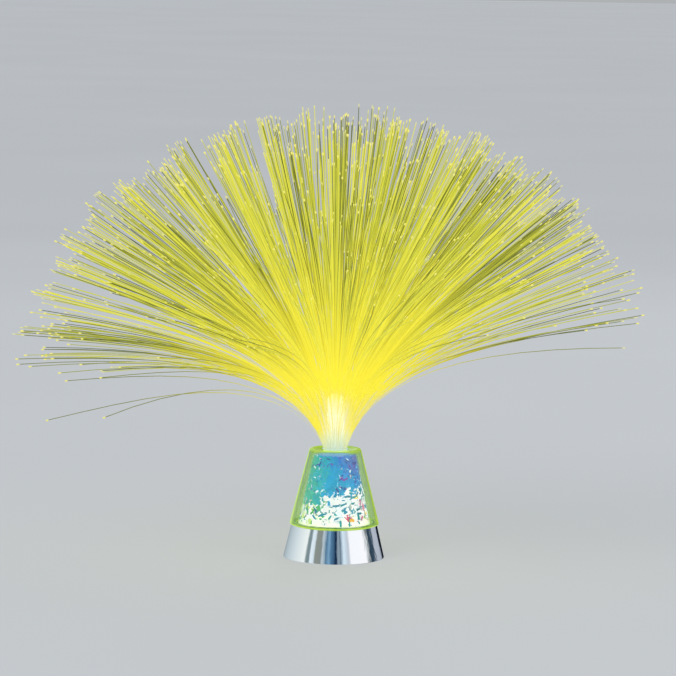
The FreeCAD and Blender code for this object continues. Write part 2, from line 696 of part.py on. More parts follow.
def leads():
    across, along = value(CELL_PITCH), value(contactSeat(""))
    offset, pitch = value(SWITCH_OFFSET), value("pin_pitch")
    starts = {
        "battery_lead_black": [(-across, -along, value(TAIL_TOP))],
        "battery_lead_red": [(across, along, value(TAIL_TOP))],
        "switch_leads": [(offset, side * pitch, value(PIN_TOP)) for side in (-1, 1)],
    }
    for label, places in starts.items():
        wire = doc.addObject("Part::Feature", "Lead")
        wire.Shape = Part.makeCompound([leadTube(*place) for place in places])
        node(label, wire)


# ---------------------------------------------------------------- clear body
def clearBody():
    crystal = revolved([
        (CRYSTAL_BOTTOM_RADIUS, DECK_TOP),
        ("crystal_top_radius", PLATE_TOP),
        ("hole_radius", PLATE_TOP),
        ("hole_radius", PLATE_UNDER),
        (CRYSTAL_INNER_TOP, PLATE_UNDER),
        (CRYSTAL_INNER_BOTTOM, DECK_TOP),
    ])
    softened(crystal, "Fillet", crystal.Tip, [("crystal_top_radius", PLATE_TOP)], "shoulder_radius")
    node("crystal_shell", crystal)
    node("inner_sleeve", revolved([
        (SLEEVE_BOTTOM, DECK_TOP),
        (SLEEVE_TOP, PLATE_UNDER),
        ("%s - sleeve_wall" % SLEEVE_TOP, PLATE_UNDER),
        ("%s - sleeve_wall" % SLEEVE_BOTTOM, DECK_TOP),
    ]))
    node("diffuser_disc", cylinder(DIFFUSER_RADIUS, "diffuser_thickness", low_z=DECK_TOP))


def flake(radius, thickness, lean, bearing):
    """Cut shred of film: a thin four-cornered scrap whose long diagonal climbs towards a bearing."""
    corners = [Vector(*corner) * radius for corner in ((1, 0), (0, 0.72), (-1, 0), (0, -0.6))]
    scrap = Part.Face(Part.makePolygon(corners + corners[:1])).extrude(Vector(0, 0, thickness))
    scrap.rotate(Vector(), Vector(0, 1, 0), -lean)
    scrap.rotate(Vector(), Vector(0, 0, 1), bearing)
    return scrap


def filmFlakes():
    """Heap of shreds in stacks that stand side by side; in a stack each shred props up the next one."""
    radius, thickness, gap = value("flake_radius"), value("flake_thickness"), value("flake_gap")
    floor, roof = value(CHAMBER_FLOOR), value(BUNDLE_BOTTOM)
    low, high = value("%s - sleeve_wall" % SLEEVE_BOTTOM), value("%s - sleeve_wall" % SLEEVE_TOP)
    slope = (low - high) / value("%s - %s" % (PLATE_UNDER, DECK_TOP))
    spacing = 2 * radius + gap
    rings = int((low - radius) / spacing)
    places = [(0, 0)] + [(ring, step) for ring in range(1, rings + 1) for step in range(6 * ring)]
    scraps = []
    for number, (ring, step) in enumerate(places):
        around = math.radians(60 * step / max(ring, 1))
        place = Vector(ring * spacing * math.cos(around), ring * spacing * math.sin(around), 0)
        heap = value("heap_height") * (0.85 + 0.3 * ((number * goldenShare) % 1))
        top = roof - 2 * radius if number % 5 == 3 else floor + heap
        bearing = 360 * ((number * goldenShare * 2) % 1)
        level = floor + gap
        wall = low - slope * (level - value(DECK_TOP))
        while level < top and place.Length + radius + gap < wall:
            lean = 26 + 24 * ((len(scraps) * goldenShare) % 1)
            half = radius * math.sin(math.radians(lean))
            scrap = flake(radius, thickness, lean, bearing)
            scrap.translate(place + Vector(0, 0, level + half))
            level += 2 * half + thickness + gap
            wall = low - slope * (level + 2 * radius - value(DECK_TOP))
            bearing += 180
            scraps.append(scrap)
    heap = doc.addObject("Part::Feature", "Flakes")
    heap.Shape = Part.makeCompound(scraps)
    node("film_flakes", heap)


# ---------------------------------------------------------------- bundle
def bundle():
    node("bundle_ferrule", revolved([
        (FERRULE_INNER, BUNDLE_BOTTOM),
        (FERRULE_OUTER, BUNDLE_BOTTOM),
        (FERRULE_OUTER, "%s - flange_thickness" % PLATE_UNDER),
        ("hole_radius + flange_overlap", "%s - flange_thickness" % PLATE_UNDER),
        ("hole_radius + flange_overlap", PLATE_UNDER),
        (FERRULE_OUTER, PLATE_UNDER),
        (FERRULE_OUTER, PLATE_TOP),
        (FERRULE_INNER, PLATE_TOP),
    ]))
    node("bundle_plug", revolved([
        (PLUG_INNER, BUNDLE_BOTTOM),
        (PLUG_OUTER, BUNDLE_BOTTOM),
        (PLUG_OUTER, PLUG_TOP),
        (PLUG_INNER, PLUG_TOP),
    ]))
    tip = doc.addObject("Part::Sphere", "Tip")
    tie(tip, Radius=ROD_RADIUS, low_z="%s + rod_rise - %s" % (PLATE_TOP, ROD_RADIUS))
    shaft = cylinder(ROD_RADIUS, "bundle_depth + rod_rise - %s" % ROD_RADIUS, low_z=BUNDLE_BOTTOM)
    node("light_rod", fused(shaft, tip))


strandPairs = 72      # in four rings about the rod
spanGrowth = 1.6      # a strand's straight spans grow from the neck to the tip by this power
edgePower = 12        # how close to the fan's edge the droop sets in


def strandTilt(share):
    """Tilt at the tip, in degrees: even cover of a dome, then a thin edge of strands that droop lower."""
    cover, droop = value("fan_cover_share"), value("fan_droop_angle")
    return math.degrees(math.acos(1 - cover * share)) + droop * share ** edgePower


def strandLine(neck, tilt, length, spans):
    """Radius and level of a strand's corners: it leaves upright, bends out of the neck and straightens."""
    plate = value(PLATE_TOP)
    stiff, bend = value("strand_stiff_length"), value("strand_bend_length")
    line = [(neck, value(PLUG_TOP)), (neck, plate)]
    radius, level, travelled = neck, plate, 0.0
    for span in range(spans):
        ahead = length * ((span + 1) / spans) ** spanGrowth
        middle = (travelled + ahead) / 2
        lean = math.radians(tilt) * (1 - math.exp(-(middle + stiff) / bend))
        radius += (ahead - travelled) * math.sin(lean)
        level += (ahead - travelled) * math.cos(lean)
        line.append((radius, level))
        travelled = ahead
    return line


def strand(line, width, azimuth):
    """Strand of square section along a line in the upright plane at an azimuth."""
    points = [Vector(radius, 0, level) for radius, level in line]
    left, right = [], []
    for index, point in enumerate(points):
        before = points[max(index - 1, 0)]
        after = points[min(index + 1, len(points) - 1)]
        along = (after - before).normalize()
        side = Vector(-along.z, 0, along.x) * (width / 2)
        if index < 2:
            side = Vector(-width / 2, 0, 0)
        left.append(point + side)
        right.append(point - side)
    outline = Part.makePolygon(left + right[::-1] + left[:1])
    outline.translate(Vector(0, -width / 2, 0))
    solid = Part.Face(outline).extrude(Vector(0, width, 0))
    solid.rotate(Vector(), Vector(0, 0, 1), azimuth)
    return solid


def fibers():
    """Four rings of strands about the rod: the inner ring stands upright, the outer one leans out level.

    The bearings follow the golden share of half a turn and the strands stand in like pairs, one on each
    side, so the fan is even and centred on the foot. Strands with close bearings are always in different
    rings, and the outer one leans out further, so no two strands meet.
    """
    width = value("strand_width")
    perRing = strandPairs // 4
    rings = [("fiber_crown", 2), ("fiber_upper", 3), ("fiber_middle", 4), ("fiber_lower", 5)]
    for ring, (label, spans) in enumerate(rings):
        neck = value("%s + %s * %.1f" % (PLUG_INNER, STRAND_PITCH, ring + 0.5))
        strands = []
        for number in range(ring * perRing, (ring + 1) * perRing):
            tilt = strandTilt((number + 0.5) / strandPairs)
            shortening = value("strand_taper_share") * ((number * goldenShare * 3) % 1)
            length = value("strand_length") * (1 - shortening)
            line = strandLine(neck, tilt, length, spans)
            for half in (0, 1):
                azimuth = 180 * ((number * goldenShare) % 1 + half)
                strands.append(strand(line, width, azimuth))
        tuft = doc.addObject("Part::Feature", "Strands")
        tuft.Shape = Part.makeCompound(strands)
        node(label, tuft)


# ---------------------------------------------------------------- build, check and write
chromeSkirt()
baseTray()
batteryDoor()
screws()
cells()
contacts()
slideSwitch()
circuitBoard()
leads()
clearBody()
filmFlakes()
bundle()
fibers()
doc.recompute()

for item in doc.Objects:
    if "Invalid" in item.State or "Error" in item.State:
        raise RuntimeError("%s failed: %s" % (item.Label, item.State))
for label, item in nodes:
    if item.Shape.isNull() or not item.Shape.isValid() or not item.Shape.Solids:
        raise RuntimeError("%s has no valid shape" % label)

os.makedirs("parts", exist_ok=True)
for label, item in nodes:
    item.Shape.exportStep("parts/%s.step" % label)
print("%d nodes written" % len(nodes))
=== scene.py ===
import functools
import math
import random
from math import cos, pi, radians, sin

import bmesh
import bpy
from mathutils import Matrix, Vector


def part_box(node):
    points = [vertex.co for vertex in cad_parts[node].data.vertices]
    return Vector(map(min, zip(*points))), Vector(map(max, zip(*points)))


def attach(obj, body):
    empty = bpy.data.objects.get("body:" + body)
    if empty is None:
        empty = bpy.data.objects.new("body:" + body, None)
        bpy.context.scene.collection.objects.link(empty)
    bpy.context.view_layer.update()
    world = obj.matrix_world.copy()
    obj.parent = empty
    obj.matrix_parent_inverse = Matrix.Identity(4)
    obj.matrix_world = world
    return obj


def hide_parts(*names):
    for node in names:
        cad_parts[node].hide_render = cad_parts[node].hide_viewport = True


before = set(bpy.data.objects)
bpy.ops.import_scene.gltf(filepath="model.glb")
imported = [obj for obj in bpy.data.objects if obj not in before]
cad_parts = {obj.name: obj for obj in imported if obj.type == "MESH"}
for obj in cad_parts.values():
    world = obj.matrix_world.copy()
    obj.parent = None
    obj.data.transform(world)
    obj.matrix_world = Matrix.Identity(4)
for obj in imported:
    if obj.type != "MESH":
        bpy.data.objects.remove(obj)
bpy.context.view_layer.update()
scene = bpy.context.scene
mm = 0.001
sharpAngle = radians(35)   # edges of screws and cells that bend more than this stay sharp

# levels and radii that the pieces share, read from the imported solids
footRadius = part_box("chrome_skirt")[1].x
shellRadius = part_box("crystal_shell")[1].x
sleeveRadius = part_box("inner_sleeve")[1].x
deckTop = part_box("crystal_shell")[0].z
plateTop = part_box("crystal_shell")[1].z
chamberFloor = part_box("diffuser_disc")[1].z
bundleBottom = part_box("bundle_ferrule")[0].z
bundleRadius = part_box("bundle_plug")[1].x
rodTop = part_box("light_rod")[1].z


def linear(hexColour):   # sRGB hex to the linear values that the nodes work in
    channels = [int(hexColour[i:i + 2], 16) / 255 for i in (1, 3, 5)]
    return tuple(c / 12.92 if c <= 0.04045 else ((c + 0.055) / 1.055) ** 2.4 for c in channels) + (1.0,)


def addNode(material, kind, sockets=None, stops=(), **settings):
    # sockets maps an input to a value, a hex colour, an output, or a node, which gives its first output; a
    # pair for From or To is that range's ends. stops are a ramp's. The last shader added feeds the output
    tree = material.node_tree
    node = tree.nodes.new("ShaderNode" + kind)
    for name, setting in settings.items():
        setattr(node, name, setting)
    for name, source in (sockets or {}).items():
        source = source.outputs[0] if isinstance(source, bpy.types.Node) else source
        if isinstance(source, bpy.types.NodeSocket):
            tree.links.new(source, node.inputs[name])
        elif name in ("From", "To"):
            node.inputs[name + " Min"].default_value, node.inputs[name + " Max"].default_value = source
        else:
            node.inputs[name].default_value = linear(source) if isinstance(source, str) else source
    for index, (position, colour) in enumerate(stops):
        stop = node.color_ramp.elements[index] if index < 2 else node.color_ramp.elements.new(position)
        stop.position = position
        stop.color = linear(colour)
    if node.outputs and node.outputs[0].type == "SHADER":
        tree.links.new(node.outputs[0], tree.nodes[0].inputs["Surface"])
    return node


def newMaterial(name):   # also gives what adds its nodes, and the coordinates of the object that it covers
    material = bpy.data.materials.new(name)
    material.use_nodes = True
    material.node_tree.nodes.clear()
    add = functools.partial(addNode, material)
    add("OutputMaterial")
    return material, add, add("TexCoord").outputs["Object"]


def patternedFinish(name, pattern, width, tints, rough, span=(0.3, 0.7), stretch=None, glow=None, **look):
    # a pattern of a real width gives the tint and, where rough is a pair, the gloss; span is the part of it
    # that the gloss follows, and stretch draws it long
    material, add, place = newMaterial(name)
    if stretch:
        place = add("Mapping", {"Vector": place, "Scale": stretch})
    marks = add(pattern, {"Vector": place, "Scale": 1 / width})
    tint = add("ValToRGB", {"Fac": marks}, stops=tints)
    if isinstance(rough, tuple):
        rough = add("MapRange", {"Value": marks, "From": span, "To": rough})
    if glow:
        look |= {"Emission Color": tint, "Emission Strength": glow}
    add("BsdfPrincipled", {"Base Color": tint, "Roughness": rough, **look})
    return material


def litAlong(name, span, tints, grain, rough, dim=0.0, **look):
    # clear plastic full of light, its tint changing with height over the span; dim darkens the plastic itself
    material, add, place = newMaterial(name)
    split = add("SeparateXYZ", {"Vector": place})
    height = add("MapRange", {"Value": split.outputs["Z"], "From": span})
    tint = add("ValToRGB", {"Fac": height}, stops=tints)
    dull = add("MixRGB", {"Fac": dim, "Color1": tint, "Color2": "#22241C"}) if dim else tint
    marks = add("TexNoise", {"Vector": place, "Scale": 1 / grain})
    gloss = add("MapRange", {"Value": marks, "From": (0.3, 0.7), "To": rough})
    add("BsdfPrincipled", {"Base Color": dull, "Roughness": gloss, "Emission Color": tint, **look})
    return material


def dress(material, *nodeNames):   # give carried-over CAD nodes their finish
    for name in nodeNames:
        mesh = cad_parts[name].data
        mesh.materials.clear()
        mesh.materials.append(material)


def makeObject(name, bm, materials):
    mesh = bpy.data.meshes.new(name)
    bm.to_mesh(mesh)
    bm.free()
    for material in materials:
        mesh.materials.append(material)
    made = bpy.data.objects.new(name, mesh)
    scene.collection.objects.link(made)
    return made


def makePiece(name, bm, materials, body, replaced):
    piece = makeObject(name, bm, materials)
    piece.data.polygons.foreach_set("use_smooth", [True] * len(piece.data.polygons))
    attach(piece, body)
    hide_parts(*replaced)
    return piece


def vertsOf(geometry):
    return [item for item in geometry if isinstance(item, bmesh.types.BMVert)]


def spinProfile(points, steps=128, corner=0.0):
    # turn a closed outline of radius and level, in metres, about the axis; corner rounds its corners
    bm = bmesh.new()
    corners = [bm.verts.new((radius, 0, level)) for radius, level in points]
    edges = [bm.edges.new(pair) for pair in zip(corners, corners[1:] + corners[:1])]
    if corner:
        bmesh.ops.bevel(bm, geom=corners + edges, offset=corner, affect="VERTICES", segments=3, profile=0.5,
                        material=-1)
    bmesh.ops.spin(bm, geom=bm.verts[:] + bm.edges[:], axis=(0, 0, 1), cent=(0, 0, 0),
                   angle=2 * pi, steps=steps, use_merge=True)
    bmesh.ops.remove_doubles(bm, verts=bm.verts, dist=0.001 * mm)
    bmesh.ops.recalc_face_normals(bm, faces=bm.faces)
    return bm


# camera: a long lens from a little above, so that foot, body and plate all show the same flat rims
camera = {
    "distance": 3.0,
    "elevation": 6.4,   # at the middle of the frame, so about nine degrees at the foot
    "roll": 0.9,   # the lamp leans a little to the right in the frame
    "frameSide": 676,
    "pixelSpan": 0.793 * mm,   # what a pixel spans at the lamp's axis
    "axisColumn": 333.6,   # where the axis and the foot's rim stand in the frame
    "rimRow": 556.2,
    "sensor": 36.0,
    "farthest": 100.0,
}


def placeCamera():
    tilt = radians(camera["elevation"])
    roll = radians(camera["roll"])
    middle = camera["frameSide"] / 2
    back = Vector((0, -cos(tilt), sin(tilt)))
    turned = (-back).to_track_quat("-Z", "Y").to_matrix() @ Matrix.Rotation(roll, 3, "Z")
    across = (middle - camera["axisColumn"]) * camera["pixelSpan"]
    up = (camera["rimRow"] - middle) * camera["pixelSpan"]
    eye = bpy.data.objects.new("camera", bpy.data.cameras.new("camera"))
    eye.data.sensor_width = camera["sensor"]
    eye.data.lens = camera["sensor"] * camera["distance"] / (camera["frameSide"] * camera["pixelSpan"])
    eye.data.clip_end = camera["farthest"]
    eye.location = turned @ Vector((across, up, 0)) + back * camera["distance"]
    eye.rotation_euler = turned.to_euler()
    scene.collection.objects.link(eye)
    scene.camera = eye


placeCamera()
print("camera placed")


# studio: pale floor, soft light, and bands of pale and dark board that only reflections show
studio = {
    "floorRadius": 20.0,
    "floorColour": "#D3D7DB",
    "ownLight": 0.55,   # how much of the floor's colour the camera sees whatever light falls on it
    "skyColour": "#EEF1F4",
    "skyStrength": 0.5,
    "boardStrength": 1.15,
    "aim": (0, 0, 0.2),
    "lamps": [   # name, place, side, watts
        ("key", (-1.3, -1.8, 1.9), 1.4, 20.0),
        ("fill", (1.9, -1.2, 1.1), 1.6, 7.0),
        ("back", (0.6, 1.9, 1.6), 1.2, 8.0),
    ],
    # bearing from the front, right positive, and the board's colour there
    "boards": [(-180, "#7F8C94"), (-150, "#A9B6BD"), (-112, "#CBD7DB"), (-71, "#EEF3F0"), (-67, "#76898C"),
               (-60, "#7C8F93"), (-58, "#E2EDF4"), (-48, "#D2E0E8"), (-45, "#8A908A"), (-31, "#868E8B"),
               (-28, "#BCCAD2"), (-22, "#9AAEBA"), (-19, "#4C7490"), (-11, "#7FA6C4"), (-7, "#4F7899"),
               (2, "#3A5A76"), (3.5, "#0E2542"), (7, "#12294A"), (9, "#8498A6"), (14, "#8C9CA8"),
               (16, "#4E6478"), (18, "#7C90A0"), (24, "#D6E8F4"), (36, "#BCC4CE"), (41, "#F8F9FC"),
               (80, "#FAFAFC"), (90, "#B0B6B8"), (98, "#2E414F"), (112, "#35485A"), (118, "#B2B9C4"),
               (143, "#ACB3BF"), (149, "#141D2A")],
}


def studioFloor():
    # matt paint, rolled: a faint unevenness and no gloss; mirrors look past it to the boards
    material, add, place = newMaterial("painted_floor")
    cloud = add("TexNoise", {"Vector": place, "Scale": 1.5})
    tint = add("ValToRGB", {"Fac": cloud}, stops=[(0.3, "#D0D4D8"), (0.7, studio["floorColour"])])
    paint = add("BsdfPrincipled", {"Base Color": tint, "Roughness": 0.85, "Specular IOR Level": 0.15})
    even = add("Emission", {"Color": tint})
    ray = add("LightPath")
    straight = add("Math", {
        0: ray.outputs["Is Camera Ray"], 1: ray.outputs["Is Transmission Ray"]}, operation="MAXIMUM")
    own = add("Math", {0: straight, 1: studio["ownLight"]}, operation="MULTIPLY")
    shown = add("MixShader", {"Fac": own, 1: paint, 2: even})
    clear = add("BsdfTransparent")
    add("MixShader", {"Fac": ray.outputs["Is Glossy Ray"], 1: shown, 2: clear})
    bm = bmesh.new()
    bmesh.ops.create_circle(bm, cap_ends=True, segments=96, radius=studio["floorRadius"])
    makeObject("floor", bm, [material])


def studioLight():
    for name, place, side, watts in studio["lamps"]:
        lamp = bpy.data.objects.new(name, bpy.data.lights.new(name, "AREA"))
        lamp.data.size = side
        lamp.data.energy = watts
        lamp.location = place
        lamp.visible_glossy = False   # reflections show the boards alone
        lamp.rotation_euler = (Vector(studio["aim"]) - Vector(place)).to_track_quat("-Z", "Y").to_euler()
        scene.collection.objects.link(lamp)
    sky = bpy.data.worlds.new("studio")
    sky.use_nodes = True
    sky.node_tree.nodes.clear()
    scene.world = sky
    add = functools.partial(addNode, sky)
    add("OutputWorld")
    way = add("TexCoord")
    turned = add("Mapping", {   # the ramp's middle looks to the front
        "Vector": way.outputs["Generated"], "Rotation": (0, 0, pi / 2)})
    bearing = add("TexGradient", {"Vector": turned}, gradient_type="RADIAL")
    bands = add("ValToRGB", {"Fac": bearing.outputs["Fac"]},
                    stops=[(0.5 + degrees / 360, colour) for degrees, colour in studio["boards"]])
    boards = add("Background", {"Color": bands, "Strength": studio["boardStrength"]})
    plain = add("Background", {"Color": studio["skyColour"], "Strength": studio["skyStrength"]})
    ray = add("LightPath")
    add("MixShader", {"Fac": ray.outputs["Is Glossy Ray"], 1: plain, 2: boards})


studioFloor()
studioLight()
scene.view_settings.view_transform = "Standard"
scene.cycles.transparent_max_bounces = 96   # rays pass many see-through fibers at the neck
print("studio set")


# chromed foot
foot = {
    "wall": 1.6 * mm,
    "slope": math.tan(radians(13.2)),
    "spigotHeight": 1.8 * mm,
    "spigotWall": 1.2 * mm,
    "spigotStep": 1.5 * mm,   # from the sleeve's outside to the spigot's outside
    "opening": 22 * mm,   # radius of the hole in the deck that the light comes up through
    "edge": 0.35 * mm,
}


def chromePlating():
    # chrome plating on moulded ABS: a sharp mirror that waves a little where the moulding sank
    material, add, place = newMaterial("chrome_plated_abs")
    tall = add("Mapping", {"Vector": place, "Scale": (1, 1, 0.3)})
    sink = add("TexNoise", {   # sink marks about 7 mm wide
        "Vector": tall, "Scale": 1 / (7 * mm), "Detail": 3.5})
    split = add("SeparateXYZ", {"Vector": place})
    ribbed = add("MapRange", {   # deeper over the ribs beside the switch
        "Value": split.outputs["X"], "From": (16 * mm, 26 * mm), "To": (0.09, 0.5)})
    wave = add("Bump", {"Height": sink, "Strength": ribbed, "Distance": 0.9 * mm})
    haze = add("TexNoise", {   # handling haze, patches of 5 mm
        "Vector": place, "Scale": 1 / (5 * mm), "Detail": 4.0})
    gloss = add("MapRange", {"Value": haze, "From": (0.35, 0.75), "To": (0.04, 0.11)})
    add("BsdfPrincipled", {"Base Color": "#EDEFF1", "Metallic": 1.0, "Roughness": gloss, "Normal": wave})
    return material


def chromeFoot():
    wall = foot["wall"]
    topRadius = footRadius - foot["slope"] * deckTop
    spigot, spigotTop = sleeveRadius + foot["spigotStep"], deckTop + foot["spigotHeight"]
    spigotInside = spigot - foot["spigotWall"]
    bm = spinProfile([
        (footRadius, 0), (topRadius, deckTop), (spigot, deckTop), (spigot, spigotTop),
        (spigotInside, spigotTop), (spigotInside, deckTop), (foot["opening"], deckTop),
        (foot["opening"], deckTop - wall), (topRadius - wall, deckTop - wall), (footRadius - wall, 0)],
        corner=foot["edge"])
    makePiece("chrome_foot", bm, [chromePlating()], "lamp", ["chrome_skirt"])


chromeFoot()
print("foot done")


# clear body: shell, sleeve, ferrule and diffuser, lit through their walls by the lamps below
acrylic = {
    "shellWall": 2.4 * mm,
    "sleeveWall": 1.6 * mm,
    "plate": 3.2 * mm,
    "topRadius": 20.7 * mm,
    "holeRadius": 10.4 * mm,
    "sleeveTop": 18.7 * mm,
    "shoulder": 1.7 * mm,
    "shoulderTurns": (12, 32, 52, 72, 90),   # degrees round the shoulder at which its facets meet
    "rimInset": 0.3 * mm,   # the lower rim's broken edge
    "rimHeight": 0.5 * mm,
    "joint": 0.02 * mm,   # gap where two parts are glued
    "skin": 1.2 * mm,   # faces deeper than this in the wall or the plate count as inside
    "plateSkin": 0.2 * mm,
    "rimGlow": 1.9 * mm,   # height of the bright band at the lower rim
}


def acrylicWall():
    # cast acrylic, polished: clear when looked at squarely and full of gathered light where the wall is
    # seen along its length, at the lower rim and in the thick plate on top
    material, add, place = newMaterial("cast_acrylic_outside")
    facing = add("LayerWeight", {"Blend": 0.5}).outputs["Facing"]
    along = add("ValToRGB", {"Fac": facing}, stops=[
        (0.3, "#000000"), (0.42, "#4A4A4A"), (0.66, "#787878"), (0.78, "#E0E0E0"), (0.95, "#FFFFFF")])
    level = add("SeparateXYZ", {"Vector": place}).outputs["Z"]
    rim = add("MapRange", {
        "Value": level, "From": (deckTop + acrylic["rimGlow"], deckTop + 0.7 * mm), "To": (0.0, 0.86)})
    plate = add("MapRange", {
        "Value": level, "From": (plateTop - acrylic["plate"], plateTop - 1.0 * mm), "To": (0.0, 0.62)})
    square = add("MapRange", {   # the plate stays clear where it is seen squarely
        "Value": facing, "From": (0.08, 0.26), "To": (0.25, 1.0)})
    thick = add("Math", {0: plate, 1: square}, operation="MULTIPLY")
    ends = add("Math", {0: rim, 1: thick}, operation="MAXIMUM")
    face = add("MapRange", {   # its flat top gets less of the painted glow than its rim
        "Value": level, "From": (plateTop - 0.15 * mm, plateTop - 0.05 * mm), "To": (1.0, 0.8)})
    edge = add("Math", {0: along, 1: face}, operation="MULTIPLY")
    gathered = add("Math", {0: ends, 1: edge}, operation="MAXIMUM")
    cast = add("TexNoise", {   # casting streaks, 5 mm apart
        "Vector": place, "Scale": 1 / (5 * mm), "Detail": 3.0})
    uneven = add("MapRange", {"Value": cast, "From": (0.3, 0.7), "To": (0.8, 1.0)})
    body = add("Math", {0: gathered, 1: uneven}, operation="MULTIPLY")
    colour = add("ValToRGB", {"Fac": body}, stops=[
        (0.0, "#4FB48C"), (0.08, "#5FA85C"), (0.2, "#86B444"), (0.5, "#98BA42"), (0.8, "#B4D24C"),
        (1.0, "#A8C846")])
    alpha = add("ValToRGB", {"Fac": body}, stops=[
        (0.0, "#0A0A0A"), (0.06, "#808080"), (0.2, "#C0C0C0"), (0.5, "#F8F8F8")])
    glow = add("MapRange", {"Value": body, "From": (0.0, 0.9), "To": (0.0, 0.76)})
    add("BsdfPrincipled", {
        "Base Color": colour, "Roughness": 0.06, "IOR": 1.49, "Specular IOR Level": 0.25, "Alpha": alpha,
        "Emission Color": colour, "Emission Strength": glow})
    return material


def acrylicClear():
    # the same plastic on faces inside the body: nearly clear, with a bright line only where seen edge-on
    material, add, place = newMaterial("cast_acrylic_inside")
    slant = add("LayerWeight", {"Blend": 0.5})
    line = add("MapRange", {"Value": slant.outputs["Facing"], "From": (0.72, 0.97), "To": (0.02, 0.6)})
    cast = add("TexNoise", {   # casting streaks, 5 mm apart
        "Vector": place, "Scale": 1 / (5 * mm), "Detail": 3.0})
    tint = add("ValToRGB", {"Fac": cast}, stops=[(0.3, "#8CC04C"), (0.7, "#C4DE5C")])
    add("BsdfPrincipled", {
        "Base Color": tint, "Roughness": 0.08, "IOR": 1.49, "Alpha": line,
        "Emission Color": tint, "Emission Strength": 0.5})
    return material


def wallAt(level, low, high, ceiling):   # radius of a straight wall at a level
    return low + (high - low) * (level - deckTop) / (ceiling - deckTop)


def clearBody():
    top, rounding, joint = acrylic["topRadius"], acrylic["shoulder"], acrylic["joint"]
    slope = (shellRadius - top) / (plateTop - deckTop)
    ceiling, floor = plateTop - acrylic["plate"], deckTop + joint
    shoulder = [(top - rounding * (1 - cos(turn)), plateTop - rounding * (1 - sin(turn)))
                for turn in map(radians, acrylic["shoulderTurns"])]
    shell = spinProfile(
        [(shellRadius - acrylic["rimInset"], floor), (shellRadius, deckTop + acrylic["rimHeight"])] + shoulder
        + [(acrylic["holeRadius"], plateTop), (acrylic["holeRadius"], ceiling),
           (top - acrylic["shellWall"] + slope * acrylic["plate"], ceiling),
           (shellRadius - acrylic["shellWall"], floor)])
    inside = acrylicClear()
    piece = makePiece(
        "clear_shell", shell, [acrylicWall(), inside], "lamp", ["crystal_shell"])
    for face in piece.data.polygons:   # faces off the outer wall and the plate's top are the clear ones
        reach = math.hypot(face.center.x, face.center.y)
        wall = wallAt(face.center.z, shellRadius, top, plateTop)
        if reach < wall - acrylic["skin"] and face.center.z < plateTop - acrylic["plateSkin"]:
            face.material_index = 1
    wall, sleeveTop = acrylic["sleeveWall"], acrylic["sleeveTop"]
    sleeve = spinProfile([(sleeveRadius, floor), (sleeveTop, ceiling - joint),
                          (sleeveTop - wall, ceiling - joint), (sleeveRadius - wall, floor)])
    makePiece("clear_sleeve", sleeve, [inside], "lamp", ["inner_sleeve"])
    # extruded acrylic, sand blasted, with its grit drawn at 0.6 mm so that it shows: an even milky glow
    tints = [(0.35, "#EEF2D4"), (0.65, "#FCFAE0")]
    dress(patternedFinish("frosted_acrylic_disc", "TexNoise", 0.6 * mm, tints, 0.6, IOR=1.49, glow=0.6),
          "diffuser_disc")
    # moulded clear styrene with flow marks 2 mm apart: a pale collar with a painted glow, blue at its foot
    # from the light of the film below it
    dress(litAlong("moulded_styrene_ferrule", (bundleBottom, plateTop),
                   [(0.0, "#2F8FC8"), (0.6, "#5A86D2"), (0.85, "#A8CCEC")], 2 * mm, (0.2, 0.35),
                   **{"IOR": 1.59, "Emission Strength": 0.5}), "bundle_ferrule")


clearBody()
print("clear body done")


